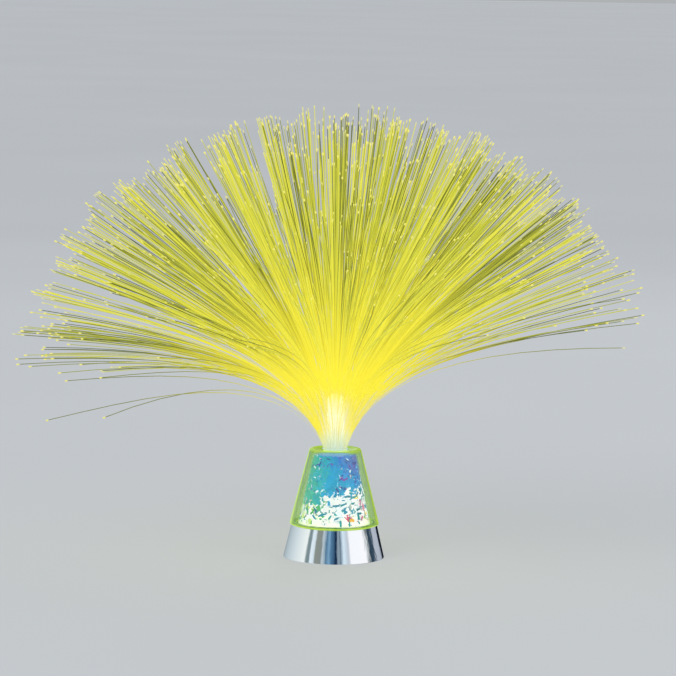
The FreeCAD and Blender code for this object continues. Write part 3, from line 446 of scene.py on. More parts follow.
# film shreds: iridescent film, slit and chopped into hard-cornered scraps
film = {
    "onWall": 1500,   # scraps that the heap presses against the sleeve
    "loose": 420,
    "deep": 90,   # larger scraps in the middle of the heap
    "least": 0.8 * mm,   # half the length of a scrap
    "most": 4.8 * mm,
    "smallBias": 1.6,   # above 1, so most scraps are small
    "deepSize": 5.5 * mm,
    "sideCounts": (3, 4, 4, 5),
    "askew": (0.75, 1.15),   # how unevenly the corners are chopped
    "anyTurn": (0, 6.3),   # in radians, as is how far a loose scrap is tipped
    "tumble": (0.3, 2.8),
    "floorGap": 0.4,   # shares of its half length that a scrap keeps off the floor and the ceiling
    "ceilingGap": 0.8,
    "wallGap": 0.25 * mm,
    "heapGap": 1.5 * mm,   # from the wall to the loose scraps
    "bundleGap": 2 * mm,   # round the bundle, from a little below it
    "bundleBelow": 1 * mm,
    "looseSide": 0.5,   # how much less the loose scraps' colours differ from left to right
    "deepReach": 0.5,
    "sliver": 0.42,   # slenderer scraps lie closer to the sleeve; both lifts are in mm
    "sliverLift": (0, 0.3),
    "lift": (0.1, 0.8),
    "seed": 11,
    "kinds": {   # tints, slenderness and size
        "white": (["#FFFFFF", "#FFFFFF", "#FAFFFF", "#EEF9FC"], (0.45, 0.95), 1.0),
        # teal slivers: teal film, and painted shade in the gaps between the white shards
        "teal": (["#1F8F98", "#2C93B4", "#25A0A2", "#2A7F96", "#2F8FAE"], (0.15, 0.41), 0.9),
        "green": (["#35A862", "#57B97E", "#CFE98A"], (0.4, 0.8), 1.0),
        "pink": (["#E0608E", "#E88CB0", "#F8B840", "#F6DE7A", "#D8507C", "#FFF0C0"], (0.4, 0.8), 1.0),
        "glint": (["#E8FBFF", "#9FE4F2", "#FFFFFF", "#7FD6EA"], (0.2, 0.6), 0.5),
        "violet": (["#7A4FB0", "#4652A0", "#5C58B0", "#3060A8"], (0.2, 0.5), 0.8),
    },
    # heights are shares of the chamber's, sides run from -1 at the left to 1 at the right
    "whiteTop": (0.42, 0.12, 0.05),   # top of the white shards, its rise to the right and its raggedness
    "corner": (-0.6, 0.28),   # the green corner keeps to this side and below this height
    "bottom": 0.15,
    "whites": {"corner": 0.32, "bottom": 0.6, "heap": 0.47},   # share of white in each zone
    "teals": {"corner": 0.6, "bottom": 0.9, "heap": 0.9},   # share of white and teal together
    "middle": 0.3,   # no green or pink nearer to the middle or higher than this
    "tintTop": 0.34,
    "glints": (0.07, 0.1),   # share of glints above it, and how much more on the right below glintTop
    "glintTop": 0.75,
    "violets": (0.92, 0.12),   # violet from this draw on, and how much sooner on the right or near the top
    "violetSide": 0.1,
    "violetTop": 0.8,
    "blend": [(-1.0, "#48B896"), (-0.7, "#38B2B0"), (-0.4, "#30AEC8"), (-0.1, "#2CA4DC"), (0.3, "#3A8CD2"),
              (0.6, "#5A82C8"), (1.0, "#6C76BE")],   # colour of the upper heap from left to right
    "blendTop": 0.85,   # below this height the right half takes colours from further left, up to blendLeft
    "blendLean": 2.5,
    "blendLeft": -0.2,
    "drift": 0.1,
    "shade": (0.88, 1.1),
    "blendSlender": (0.5, 1.0),
}


def filmFinish():
    # metallised iridescent film, slit and chopped: each scrap shows one colour, its brightness a painted glow
    # of the light that it sends back
    material, add, place = newMaterial("iridescent_film")
    tint = add("Attribute", attribute_name="tint")
    crease = add("TexNoise", {"Vector": place, "Scale": 1 / (1.5 * mm)})   # creases, 1.5 mm
    bend = add("Bump", {"Height": crease, "Strength": 0.3, "Distance": 0.1 * mm})
    dull = add("MixRGB", {"Fac": 0.6, "Color1": tint, "Color2": "#101418"})
    add("BsdfPrincipled", {
        "Base Color": dull, "Metallic": 0.2, "Roughness": 0.3, "Normal": bend,
        "Emission Color": tint, "Emission Strength": 0.72})
    return material


def blended(side, height):   # colour between the two stops that a place from left to right falls between
    stops = film["blend"]
    if side > 0:   # the violet on the right keeps to the top
        side = max(film["blendLeft"], side - film["blendLean"] * max(0.0, film["blendTop"] - height))
    side = min(0.999, max(-0.999, side))
    for (start, first), (end, second) in zip(stops, stops[1:]):
        if start <= side < end:
            share = (side - start) / (end - start)
            return [a + (b - a) * share for a, b in zip(linear(first), linear(second))]


def filmKind(draw, side, height):
    # white shards with teal slivers between them in the lower half, the slivers teal film that also paints
    # the shade in the gaps between the shards; blue with small glints above
    chance = draw.random()
    top, rise, ragged = film["whiteTop"]
    if height < top + rise * side + draw.gauss(0, ragged):
        corner = side < film["corner"][0] and height < film["corner"][1]
        zone = "corner" if corner else "bottom" if height < film["bottom"] else "heap"
        if chance < film["whites"][zone]:
            return "white"
        if chance < film["teals"][zone] or abs(side) < film["middle"] or height > film["tintTop"]:
            return "teal"
        return "pink" if side > 0 else "green"
    glints, more = film["glints"]
    if chance < glints + more * (side > 0 and height < film["glintTop"]):
        return "glint"
    violets, less = film["violets"]
    if chance > violets - less * (side > film["violetSide"] or height > film["violetTop"]):
        return "violet"
    return "blend"


def filmLook(draw, side, height):   # colour, slenderness and size
    kind = filmKind(draw, side, height)
    if kind == "blend":
        shade = draw.uniform(*film["shade"])
        channels = blended(side + draw.gauss(0, film["drift"]), height)[:3]
        return [channel * shade for channel in channels] + [1.0], draw.uniform(*film["blendSlender"]), 1.0
    tints, slender, size = film["kinds"][kind]
    return linear(draw.choice(tints)), draw.uniform(*slender), size


def filmScraps():
    draw = random.Random(film["seed"])
    bm = bmesh.new()
    tint = bm.loops.layers.float_color.new("tint")
    ceiling = plateTop - acrylic["plate"]
    lowWall, highWall = (
        radius - acrylic["sleeveWall"] - film["wallGap"] for radius in (sleeveRadius, acrylic["sleeveTop"]))
    depth = ceiling - chamberFloor
    for number in range(film["onWall"] + film["loose"] + film["deep"]):
        onWall = number < film["onWall"]
        deep = number >= film["onWall"] + film["loose"]
        half = film["least"] + (film["most"] - film["least"]) * draw.random() ** film["smallBias"]
        half = film["deepSize"] if deep else half
        level = draw.uniform(chamberFloor + film["floorGap"] * half, ceiling - film["ceilingGap"] * half)
        azimuth = draw.uniform(0, 2 * pi)
        wall = wallAt(level + 0.5 * half, lowWall, highWall, ceiling)
        sideways = cos(azimuth) * (1.0 if onWall else film["looseSide"])
        colour, slender, size = filmLook(draw, sideways, (level - chamberFloor) / depth)
        half *= size
        sides = draw.choice(film["sideCounts"])
        corners = bmesh.ops.create_circle(bm, cap_ends=True, segments=sides, radius=half)["verts"]
        bmesh.ops.rotate(bm, verts=corners, cent=(0, 0, 0), matrix=Matrix.Rotation(pi / 4, 3, "Z"))
        bmesh.ops.scale(bm, verts=corners, vec=(1.0, slender, 1.0))
        for corner in corners:
            corner.co *= draw.uniform(*film["askew"])
        bmesh.ops.rotate(bm, verts=corners, cent=(0, 0, 0),
                         matrix=Matrix.Rotation(draw.uniform(*film["anyTurn"]), 3, "Z"))
        if onWall:
            for corner in corners:   # bent to the sleeve, some lifted a little off it
                rise = max(chamberFloor, level + corner.co.y)
                lift = draw.uniform(*film["sliverLift" if slender < film["sliver"] else "lift"])
                reach = wallAt(rise, lowWall, highWall, ceiling) - lift * mm
                turn = azimuth + corner.co.x / wall
                corner.co = (reach * cos(turn), reach * sin(turn), rise)
        else:
            besideBundle = level + half > bundleBottom - film["bundleBelow"]
            inner = bundleRadius + film["bundleGap"] + half if besideBundle else 0.0
            outer = (wall - film["heapGap"] - half) * (film["deepReach"] if deep else 1.0)
            if inner > outer:
                bmesh.ops.delete(bm, geom=corners, context="VERTS")
                continue
            radius = math.sqrt(draw.uniform(inner ** 2, outer ** 2))
            level = max(level, chamberFloor + half)
            place = Matrix.Translation((radius * cos(azimuth), radius * sin(azimuth), level))
            turned = Matrix.Rotation(draw.uniform(*film["anyTurn"]), 4, "Z")
            tipped = Matrix.Rotation(draw.uniform(*film["tumble"]), 4, "X")
            bmesh.ops.transform(bm, verts=corners, matrix=place @ turned @ tipped)
        for loop in corners[0].link_loops:
            for around in loop.face.loops:
                around[tint] = colour
    makePiece("film_scraps", bm, [filmFinish()], "lamp", ["film_flakes"])


filmScraps()
print("film done")


# light rod and the resin that holds the bundle
# cast acrylic with a ground surface, its marks drawn at 0.8 mm so that they show: it glows all over, cool at
# the foot and warm at the tip
dress(litAlong("ground_acrylic_rod", (plateTop, rodTop), [
    (0.0, "#A8CCEC"), (0.12, "#C2DCD4"), (0.22, "#D2E2D0"), (0.38, "#E8EEDC"), (0.6, "#F6F6E0"),
    (0.85, "#FAF7DC"), (1.0, "#F8F2B8")], 0.8 * mm, (0.45, 0.65), dim=0.8,
    **{"IOR": 1.49, "Emission Strength": 0.98}), "light_rod")
# epoxy resin, poured: glassy, pale yellow, with a few bubbles 1.2 mm apart, and a painted glow of the light
# that comes up through it
dress(patternedFinish("poured_epoxy_resin", "TexVoronoi", 1.2 * mm, [(0.1, "#FFFFF0"), (0.35, "#E4E0A8")],
                      0.15, IOR=1.55, glow=0.5), "bundle_plug")


# fibers: tufts of fibers that leave the neck together and fan out
fan = {
    "pairs": 72,   # tufts stand in pairs, one on each side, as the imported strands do
    "rings": ["fiber_crown", "fiber_upper", "fiber_middle", "fiber_lower"],
    "ringTilt": 20,   # degrees of tilt that a ring of single fibers covers
    "perTuft": 12.6,
    "unevenTuft": (0.75, 1.25),
    "thinFrom": 0.8,   # tufts beyond this share, the outer ones, hold fewer fibers
    "thinning": 3.6,
    "strays": 110,   # single fibers, mostly low ones at the sides
    "lowTilt": (74, 87),
    "highTilt": (3, 74),
    "lowSpread": 0.55,   # of the low ones' azimuths, in radians
    "strayLength": (0.86, 1.0),
    "strayDroop": 4.0,
    "strayCurl": 0.05,
    "strayTone": (0.4, 0.22),
    # single fibers below the others, five at the left and three at the right: tilt, azimuth, share, droop
    "droopers": [(113, 186, 0.873, -5.2), (103, 211, 0.804, 7.7), (103, 181, 0.827, -3.4),
                 (92, 201, 0.722, 4.3), (94, 183, 0.985, 0.5), (82, -8, 0.989, -1.5),
                 (84, 6, 0.974, 1.7), (72, -12, 0.971, 8.7)],
    "drooperTone": 0.12,
    "reach": 274 * mm,
    "taper": 0.04,   # tufts differ in length by this share
    "outer": 0.03,   # the outer tufts are longer by this share
    "uneven": 0.04,   # fibers of a tuft are cut shorter by up to this share, few of them by so much
    "unevenBias": 1.5,
    "cover": 0.77,   # share of a dome that the tufts cover evenly, and the droop at its edge
    "droop": 12.0,
    "droopPower": 12,   # the higher, the closer to the edge the droop keeps
    "leastTilt": 0.5,
    "leastSine": 0.12,   # of the tilt, so that upright tufts don't spread all round
    "lopsided": 0.085,   # the fan hangs a little lower on its left
    "stiff": 12 * mm,   # how soon and over what length a fiber bends out of the neck
    "bend": 72 * mm,
    "tuftSpread": 1.7,   # degrees
    "ownDroop": 1.0,
    "curl": 0.03,
    "tuftTone": (0.52, 0.17),   # mean and spread of the tufts' brightness
    "ownTone": 0.25,
    "neckInner": 7.1 * mm,
    "neckOuter": 8.9 * mm,
    "sunk": 1 * mm,   # how far below the plate's top the fibers start
    "thin": 0.125 * mm,   # half a real fiber's width, kept in the neck
    "wide": 0.32 * mm,   # drawn wider beyond it, so that a fiber shows
    "veil": 0.06,   # how much a fiber in the neck hides of the lit rod behind it
    "edgeVeil": 0.42,   # the same for the fibers at the neck's outside
    "edge": (0.7, 0.3),   # share of the fibers inside that outer part, and of those in it
    "veilTo": 0.155,
    "bareFrom": 0.25,
    "thinTo": 0.16,
    "wideFrom": 0.42,
    "beads": (1.0, 1.0, 1.1, 1.2, 1.4, 2.4),   # the cut ends flare by these much and shine
    "beadFrom": 0.993,
    "beadLength": 0.001,
    "steps": 13,
    "stepBias": 1.5,   # above 1, so the steps are shorter in the neck, where the fibers bend
    "seed": 5,
    "rows": 4,   # rows of strips in the map that the fibers' colours are kept in
    "stripSide": (0.2, 0.3),   # where a strip starts, and a corner's share of its width
    "stripEnd": (0.02, 0.96),
}
fan["shares"] = [(step / fan["steps"]) ** fan["stepBias"] * fan["beadFrom"]
                 for step in range(fan["steps"] + 1)] + [fan["beadFrom"] + fan["beadLength"], 1.0]


def fiberFinish():
    # drawn acrylic fiber, smooth: it carries the light to its tip and leaks some all the way
    material, add, place = newMaterial("drawn_acrylic_fiber")
    along, tone, show = (
        add("Attribute", attribute_name=name).outputs["Fac"] for name in ("along", "tone", "show"))
    leak = add("ValToRGB", {"Fac": tone}, stops=[
        (0.0, "#59611E"), (0.25, "#90952E"), (0.5, "#CCCE42"), (0.75, "#E8E74A"), (1.0, "#F8F256")])
    # painted light: a brighter yellow near the neck, where the fibers crowd
    core = add("MapRange", {"Value": along, "From": (0.25, 0.72), "To": (0.95, 0.0)})
    warm = add("MixRGB", {"Fac": core, "Color1": leak, "Color2": "#FBED42"})
    flat = add("VectorMath", {0: place, 1: (1, 1, 0)}, operation="MULTIPLY")
    reach = add("VectorMath", {0: flat}, operation="LENGTH")
    beside = add("MapRange", {   # the rod lights what stands close round it
        "Value": reach.outputs["Value"], "From": (8.5 * mm, 14 * mm), "To": (0.95, 0.0)})
    level = add("SeparateXYZ", {"Vector": place}).outputs["Z"]
    below = add("MapRange", {"Value": level, "From": (rodTop - 6 * mm, rodTop + 8 * mm), "To": (1.0, 0.0)})
    washed = add("Math", {0: beside, 1: below}, operation="MULTIPLY")
    pale = add("MixRGB", {"Fac": washed, "Color1": warm, "Color2": "#FAF8DE"})
    base = add("MapRange", {   # cooler and dimmer where the bundle leaves the plate
        "Value": level, "From": (plateTop, plateTop + 17 * mm), "To": (0.8, 0.0)})
    cool = add("MixRGB", {"Fac": base, "Color1": pale, "Color2": "#C8D8A6"})
    tip = add("MapRange", {"Value": along, "From": (0.989, 0.993), "To": (0.0, 1.0)})
    lit = add("MixRGB", {"Fac": tip, "Color1": cool, "Color2": "#FFF784"})
    shine = add("MapRange", {"Value": along, "From": (0.3, 0.7), "To": (0.8, 0.72)})
    dull = add("MixRGB", {"Fac": 0.7, "Color1": lit, "Color2": "#2A2A14"})
    add("BsdfPrincipled", {
        "Base Color": dull, "Roughness": 0.35, "IOR": 1.49, "Alpha": show,
        "Emission Color": lit, "Emission Strength": shine})
    return material


def clamped(share):   # kept between 0 and 1
    return min(1.0, max(0.0, share))


def tuftTilt(share):   # degrees at the tip: even cover of a dome, then a thin edge of tufts that droop lower
    return math.degrees(math.acos(1 - fan["cover"] * share)) + fan["droop"] * share ** fan["droopPower"]


def tufts(draw):
    # one course for each fiber in a tuft: tilt and azimuth at the tip, length, droop, sideways curl and tone
    golden = (math.sqrt(5) - 1) / 2
    courses = []
    for number in range(fan["pairs"]):
        share = (number + 0.5) / fan["pairs"]
        length = fan["reach"] * (1 - fan["taper"] * ((number * golden * 3) % 1) + fan["outer"] * share)
        members = fan["perTuft"] * (1.0 - fan["thinning"] * max(0.0, share - fan["thinFrom"]))
        for half in (0, 1):
            azimuth = pi * ((number * golden) % 1 + half)
            tilt = tuftTilt(share) * (1 - fan["lopsided"] * cos(azimuth))
            tuftTone = draw.gauss(*fan["tuftTone"])
            for member in range(round(members * draw.uniform(*fan["unevenTuft"]))):
                spread = fan["tuftSpread"]
                turn = draw.gauss(0, radians(spread)) / max(fan["leastSine"], sin(radians(tilt)))
                courses.append({
                    "ring": number * len(fan["rings"]) // fan["pairs"],
                    "tilt": max(fan["leastTilt"], tilt + draw.gauss(0, spread)), "azimuth": azimuth + turn,
                    "length": length * (1 - fan["uneven"] * draw.random() ** fan["unevenBias"]),
                    "droop": draw.gauss(0, fan["ownDroop"]), "curl": draw.gauss(0, fan["curl"]),
                    "tone": clamped(tuftTone + draw.gauss(0, fan["ownTone"])),
                    "bead": draw.choice(fan["beads"])})
    return courses


def singleFibers(draw):   # courses of the fibers that stand apart from the tufts
    lowest = len(fan["rings"]) - 1
    courses = [{
        "ring": lowest, "tilt": tilt, "azimuth": radians(azimuth), "length": fan["reach"] * length,
        "droop": droop, "curl": 0.0, "tone": fan["drooperTone"], "bead": max(fan["beads"])}
        for tilt, azimuth, length, droop in fan["droopers"]]
    for stray in range(fan["strays"]):
        low = stray % 4 > 0
        tilt = draw.uniform(*fan["lowTilt" if low else "highTilt"])
        azimuth = (draw.choice((0, pi)) + draw.gauss(0, fan["lowSpread"]) if low else draw.uniform(0, 2 * pi))
        leftness = (1 - cos(azimuth)) / 2
        tilt *= 1 - fan["lopsided"] * cos(azimuth)
        courses.append({
            "ring": lowest if low else min(lowest, int(tilt / fan["ringTilt"])), "tilt": tilt,
            "azimuth": azimuth, "length": fan["reach"] * draw.uniform(*fan["strayLength"]),
            "droop": abs(draw.gauss(0, fan["strayDroop"])) * leftness if low else 0.0,
            "curl": draw.gauss(0, fan["strayCurl"]), "tone": clamped(draw.gauss(*fan["strayTone"])),
            "bead": max(fan["beads"])})
    return courses


def fiberLine(course):
    # radius, level, bearing, lean and share of the length along a fiber
    radius = fan["neckInner"] + course["rank"] * (fan["neckOuter"] - fan["neckInner"])
    level, travelled, line = plateTop - fan["sunk"], 0.0, []
    for share in fan["shares"]:
        ahead = course["length"] * share
        middle = (travelled + ahead) / 2
        settle = 1 - math.exp(-(middle + fan["stiff"]) / fan["bend"])
        lean = radians(course["tilt"] * settle + course["droop"] * share ** 2)
        radius += (ahead - travelled) * sin(lean)
        level += (ahead - travelled) * cos(lean)
        line.append((radius, level, course["azimuth"] + course["curl"] * share ** 2, lean, share))
        travelled = ahead
    return line


def fiberPiece(name, courses, node, material):
    bm = bmesh.new()
    strandOf, cornerOf = (bm.verts.layers.int.new(layer) for layer in ("strand", "corner"))
    along, tone, show = (bm.verts.layers.float.new(layer) for layer in ("along", "tone", "show"))
    lines = [fiberLine(course) for course in courses]

    def put(vertex, step):
        course = courses[vertex[strandOf]]
        radius, level, turn, lean, share = lines[vertex[strandOf]][step]
        swell = clamped((share - fan["thinTo"]) / (fan["wideFrom"] - fan["thinTo"]))
        half = fan["thin"] + (fan["wide"] - fan["thin"]) * swell
        half *= course["bead"] if share > fan["beadFrom"] else 1.0
        around = 2 * pi * vertex[cornerOf] / 3
        reach = radius + half * cos(around) * cos(lean)
        across = half * sin(around)
        vertex.co = (reach * cos(turn) - across * sin(turn),
                     reach * sin(turn) + across * cos(turn),
                     level - half * cos(around) * sin(lean))
        vertex[along] = share
        inside, edge = fan["edge"]
        least = fan["veil"] + (fan["edgeVeil"] - fan["veil"]) * max(0.0, course["rank"] - inside) / edge
        clearing = clamped((share - fan["veilTo"]) / (fan["bareFrom"] - fan["veilTo"]))
        vertex[show] = least + (1 - least) * clearing

    for strand, course in enumerate(courses):
        for corner, vertex in enumerate(bmesh.ops.create_circle(bm, segments=3, radius=1.0)["verts"]):
            vertex[strandOf] = strand
            vertex[cornerOf] = corner
            vertex[tone] = course["tone"]
            put(vertex, 0)
    edges = bm.edges[:]
    for step in range(1, len(fan["shares"])):
        grown = bmesh.ops.extrude_edge_only(bm, edges=edges)["geom"]
        for vertex in vertsOf(grown):
            put(vertex, step)
        edges = [item for item in grown if isinstance(item, bmesh.types.BMEdge)
                 and abs(item.verts[0][along] - item.verts[1][along]) < 1e-6]
    bmesh.ops.holes_fill(bm, edges=bm.edges[:], sides=3)
    bmesh.ops.recalc_face_normals(bm, faces=bm.faces)
    strip = bm.loops.layers.uv.new("OFBake")   # a narrow strip of the map for each fiber
    perRow = math.ceil(len(courses) / fan["rows"])
    (left, width), (bottom, height) = fan["stripSide"], fan["stripEnd"]
    for face in bm.faces:
        for loop in face.loops:
            row, column = divmod(loop.vert[strandOf], perRow)
            loop[strip].uv = ((column + left + width * loop.vert[cornerOf]) / perRow,
                              (row + bottom + height * loop.vert[along]) / fan["rows"])
    return makePiece(name, bm, [material], "lamp", [node])


def fibers():
    draw = random.Random(fan["seed"])
    courses = tufts(draw) + singleFibers(draw)
    courses.sort(key=lambda course: course["tilt"])
    for place, course in enumerate(courses):   # in the neck the fibers lie in the order of their tilt
        course["rank"] = (place + 0.5) / len(courses)
    material = fiberFinish()
    for ring, node in enumerate(fan["rings"]):
        members = [course for course in courses if course["ring"] == ring]
        piece = fiberPiece(node.replace("fiber", "fibers"), members, node, material)
        print(piece.name, len(members), "fibers,", len(piece.data.polygons), "faces")


fibers()
print("fibers done")


# underside: tray, door and switch in moulded plastic
moulding = {
    "grain": 0.5 * mm,   # spark-eroded texture, drawn coarser than the real 0.1 mm so that it shows
    "grainDepth": 0.03 * mm,
    "flow": 14 * mm,   # paler clouds where the plastic flowed
}


def mouldedPlastic(name, dark, pale, smooth, rough):
    # moulded plastic from a textured tool: a fine even grain, a soft sheen and faint flow clouds
    material, add, place = newMaterial(name)
    grain = add("TexNoise", {"Vector": place, "Scale": 1 / moulding["grain"]})
    pits = add("Bump", {"Height": grain, "Strength": 0.5, "Distance": moulding["grainDepth"]})
    flow = add("TexNoise", {"Vector": place, "Scale": 1 / moulding["flow"], "Detail": 3.0})
    tint = add("ValToRGB", {"Fac": flow}, stops=[(0.35, dark), (0.7, pale)])
    sheen = add("MapRange", {"Value": grain, "From": (0.3, 0.7), "To": (smooth, rough)})
    add("BsdfPrincipled", {"Base Color": tint, "Roughness": sheen, "IOR": 1.53, "Normal": pits})
    return material


dress(mouldedPlastic("moulded_black_abs", "#1B1B1D", "#242427", 0.45, 0.65), "base_tray", "battery_door")
dress(mouldedPlastic("moulded_black_acetal", "#232326", "#2C2C30", 0.28, 0.42), "switch_knob")
dress(mouldedPlastic("moulded_phenolic_switch", "#2A211B", "#362B22", 0.35, 0.5), "switch_body")


# screws with cross recesses
screw = {
    "sides": 24,
    "armReach": 0.58,   # recess and flat of the head as shares of the head's radius
    "armWidth": 0.12,
    "flat": 0.72,
    "recessDepth": 0.9 * mm,
    "recessTaper": 0.6,
    "caseHead": 2.4 * mm,   # radii of the heads
    "boardHead": 1.9 * mm,
    "headHeight": 1.3 * mm,
    "headSide": [(0.9, 0.08), (1.0, 0.35), (1.0, 1.0)],   # as shares of the head's radius and height
    "shankShare": 0.52,   # shank as a share of the head's radius, and its tip as a share of the shank
    "tip": 0.3,
}


def crossScrew(headRadius, length):
    # a screw whose head lies on the level plane at 0 and whose shank runs up from it
    bm = bmesh.new()
    arm, slot = screw["armReach"] * headRadius, screw["armWidth"] * headRadius
    cross = bmesh.ops.create_circle(bm, segments=12, radius=headRadius)["verts"]
    for index, vertex in enumerate(cross):
        x, y = ((arm, -slot), (arm, slot), (slot, slot))[index % 3]
        vertex.co = Matrix.Rotation(pi / 2 * (index // 3), 3, "Z") @ Vector((x, y, 0))
    bmesh.ops.subdivide_edges(bm, edges=bm.edges[:], cuts=1)
    recess = bm.edges[:]
    flat = bmesh.ops.create_circle(bm, segments=screw["sides"], radius=screw["flat"] * headRadius)["verts"]
    rim = [edge for edge in bm.edges if edge.verts[0] in flat]
    bmesh.ops.bridge_loops(bm, edges=recess + rim)
    for vertex in vertsOf(bmesh.ops.extrude_edge_only(bm, edges=recess)["geom"]):
        vertex.co = (vertex.co.x * screw["recessTaper"], vertex.co.y * screw["recessTaper"],
                     screw["recessDepth"])
    shank = screw["shankShare"] * headRadius
    side = [(radius * headRadius, level * screw["headHeight"]) for radius, level in screw["headSide"]]
    side += [(shank, screw["headHeight"]), (shank, length - shank), (screw["tip"] * shank, length)]
    for radius, level in side:
        grown = bmesh.ops.extrude_edge_only(bm, edges=rim)["geom"]
        for vertex in vertsOf(grown):
            outward = Vector((vertex.co.x, vertex.co.y, 0)).normalized() * radius
            vertex.co = (outward.x, outward.y, level)
        rim = [item for item in grown if isinstance(item, bmesh.types.BMEdge) and item.is_boundary]
    bmesh.ops.holes_fill(bm, edges=bm.edges[:], sides=0)
    bmesh.ops.recalc_face_normals(bm, faces=bm.faces)
    return bm


def screwSet(name, node, body, headRadius, signs, headUp, finish):
    # screws at the corners, or in the middle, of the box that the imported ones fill
    low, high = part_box(node)
    middle = (low + high) / 2
    bm = crossScrew(headRadius, high.z - low.z)
    if headUp:
        bmesh.ops.scale(bm, verts=bm.verts[:], vec=(1, 1, -1))
        bmesh.ops.recalc_face_normals(bm, faces=bm.faces)
    pattern = bm.verts[:] + bm.edges[:] + bm.faces[:]
    for sideX, sideY in signs:
        place = (middle.x + sideX * (high.x - middle.x - headRadius),
                 middle.y + sideY * (high.y - middle.y - headRadius), high.z if headUp else low.z)
        copied = bmesh.ops.duplicate(bm, geom=pattern)["geom"]
        bmesh.ops.translate(bm, verts=vertsOf(copied), vec=place)
    bmesh.ops.delete(bm, geom=vertsOf(pattern), context="VERTS")
    piece = makePiece(name, bm, [finish], body, [node])
    piece.data.set_sharp_from_angle(angle=sharpAngle)


def screws():
    # zinc plating on steel: a soft blue-grey metal with its spangle drawn at 0.5 mm so that it shows
    zinc = patternedFinish("zinc_plated_steel", "TexVoronoi", 0.5 * mm, [(0.1, "#A9AEB4"), (0.6, "#C6CACE")],
                           (0.25, 0.42), span=(0.0, 0.7), Metallic=1.0)
    crossed = [(-1, -1), (1, 1)]
    corners = [(-1, -1), (1, -1), (1, 1), (-1, 1)]
    screwSet("cross_screws_tray", "tray_screws", "lamp", screw["caseHead"], corners, False, zinc)
    for end in ("front", "rear"):
        node = "door_screw_" + end
        screwSet("cross_screw_" + end, node, node, screw["caseHead"], [(0, 0)], False, zinc)
    screwSet("cross_screws_board", "board_screws", "lamp", screw["boardHead"], crossed, True, zinc)


screws()
print("screws done")


# dry cells
cell = {
    "radius": 7.25 * mm,
    "nubHeight": 1.2 * mm,
    "nubRadius": 2.75 * mm,
    "nubGroove": 0.4 * mm,   # width of the groove round the nub, and its depth and the nub's taper
    "nubEdge": 0.3 * mm,
    "crimp": 1.1 * mm,   # width and height of the jacket's edge that is rolled over the ends
    "crimpHeight": 0.2 * mm,
    "band": 9 * mm,   # coloured band at the plus end
    "sides": 40,
    "plusEnds": {"left": 1, "middle": -1, "right": 1},   # towards the rear, the front and the rear
}


def dryCells():
    # heat-shrunk PVC sleeve over a steel can: glossy, with faint lengthwise draw lines 0.7 mm apart
    finishes = [patternedFinish(name, "TexNoise", 0.7 * mm, [(0.35, dark), (0.65, pale)], (0.18, 0.3),
                                stretch=(1, 0.05, 1), Metallic=0.35)
                for name, dark, pale in (("shrunk_pvc_jacket_dark", "#1E2024", "#2A2D32"),
                                         ("shrunk_pvc_jacket_band", "#2E7F86", "#3A949B"))]
    # nickel plating on spring steel: warm bright metal, its rolling marks drawn at 0.3 mm so that they show
    nickel = patternedFinish("nickel_plated_spring_steel", "TexNoise", 0.3 * mm,
                             [(0.3, "#C9C5BB"), (0.7, "#DEDBD2")], (0.2, 0.38), stretch=(0.06, 1, 1),
                             Metallic=1.0)
    radius, nub = cell["radius"], cell["nubRadius"]
    for label, plusEnd in cell["plusEnds"].items():
        node = "battery_cell_" + label
        low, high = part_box(node)
        half = (high.y - low.y) / 2
        shoulder = half - cell["nubHeight"]
        bm = spinProfile([
            (0, -half), (radius - cell["crimp"], -half), (radius, -half + cell["crimpHeight"]),
            (radius, shoulder - cell["band"]), (radius, shoulder - cell["crimpHeight"]),
            (radius - cell["crimp"], shoulder), (nub + cell["nubGroove"], shoulder - cell["nubEdge"]),
            (nub, shoulder), (nub - cell["nubEdge"], half), (0, half)], steps=cell["sides"])
        for face in bm.faces:
            level = face.calc_center_median().z
            reach = max(Vector((vertex.co.x, vertex.co.y)).length for vertex in face.verts)
            onEnd = reach < radius - 0.5 * cell["crimp"]
            face.material_index = 2 if onEnd else 1 if level > shoulder - cell["band"] else 0
        turn = Matrix.Rotation(-pi / 2 * plusEnd, 4, "X")
        bmesh.ops.transform(bm, verts=bm.verts[:], matrix=Matrix.Translation((low + high) / 2) @ turn)
        piece = makePiece("dry_cell_" + label, bm, finishes + [nickel], "lamp", [node])
        piece.data.set_sharp_from_angle(angle=sharpAngle)
    dress(nickel, "contact_bridge_front", "contact_bridge_rear", "contact_negative", "contact_positive",
          "switch_terminals")


dryCells()
print("cells done")


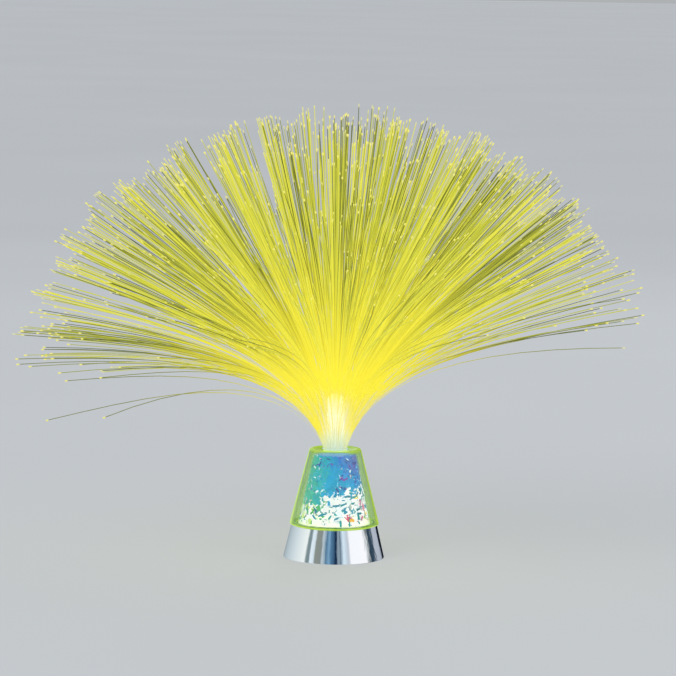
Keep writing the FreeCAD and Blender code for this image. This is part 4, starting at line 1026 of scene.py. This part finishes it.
# circuit board and what is on it
def solderMask():
    # glass-fibre laminate under green solder mask: glossy, with the weave showing faintly
    material, add, place = newMaterial("green_solder_mask")
    weave = add("TexWave", {   # glass cloth, threads 0.7 mm apart
        "Vector": place, "Scale": 0.15 / (0.7 * mm), "Distortion": 0.6})
    tracks = add("TexVoronoi", {   # copper areas under the mask, 5 mm across
        "Vector": place, "Scale": 1 / (5 * mm)}, distance="CHEBYCHEV")
    area = add("ValToRGB", {"Fac": tracks}, stops=[(0.44, "#1C6B33"), (0.46, "#0E4A22")])
    tint = add("MixRGB", {"Fac": weave.outputs["Fac"], "Color1": area, "Color2": "#135528"})
    lift = add("Bump", {"Height": tracks, "Strength": 0.2, "Distance": 0.03 * mm})
    add("BsdfPrincipled", {"Base Color": tint, "Roughness": 0.22, "IOR": 1.5, "Normal": lift})
    return material


def lampPackage():
    # moulded white package with a clear window over the chip: the light itself
    material, add, place = newMaterial("moulded_lamp_package")
    split = add("SeparateXYZ", {"Vector": place})
    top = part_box("center_led")[1].z
    window = add("MapRange", {
        "Value": split.outputs["Z"], "From": (top - 0.25 * mm, top - 0.1 * mm), "To": (0.15, 3.0)})
    glow = add("ValToRGB", {"Fac": window}, stops=[(0.2, "#F2F2EA"), (0.9, "#DDEBFF")])
    add("BsdfPrincipled", {
        "Base Color": "#F2F2EA", "Roughness": 0.35, "IOR": 1.5, "Emission Color": glow,
        "Emission Strength": window})
    return material


def wireFinish(name, dark, pale):
    # extruded PVC insulation: smooth and slightly waxy, with uneven pigment in patches of 2 mm
    return patternedFinish(name, "TexNoise", 2 * mm, [(0.35, dark), (0.65, pale)], 0.32, IOR=1.53)


dress(solderMask(), "circuit_board")
dress(lampPackage(), "center_led", "ring_leds")
dress(mouldedPlastic("moulded_epoxy_chip", "#17181A", "#212224", 0.4, 0.6), "driver_chip")
dress(mouldedPlastic("glazed_alumina_resistor", "#14151A", "#1D1F26", 0.15, 0.25), "board_resistors")
dress(wireFinish("red_pvc_insulation", "#A81414", "#BE1E1C"), "battery_lead_red")
dress(wireFinish("black_pvc_insulation", "#121214", "#1C1C1F"), "battery_lead_black", "switch_leads")
print("board done")
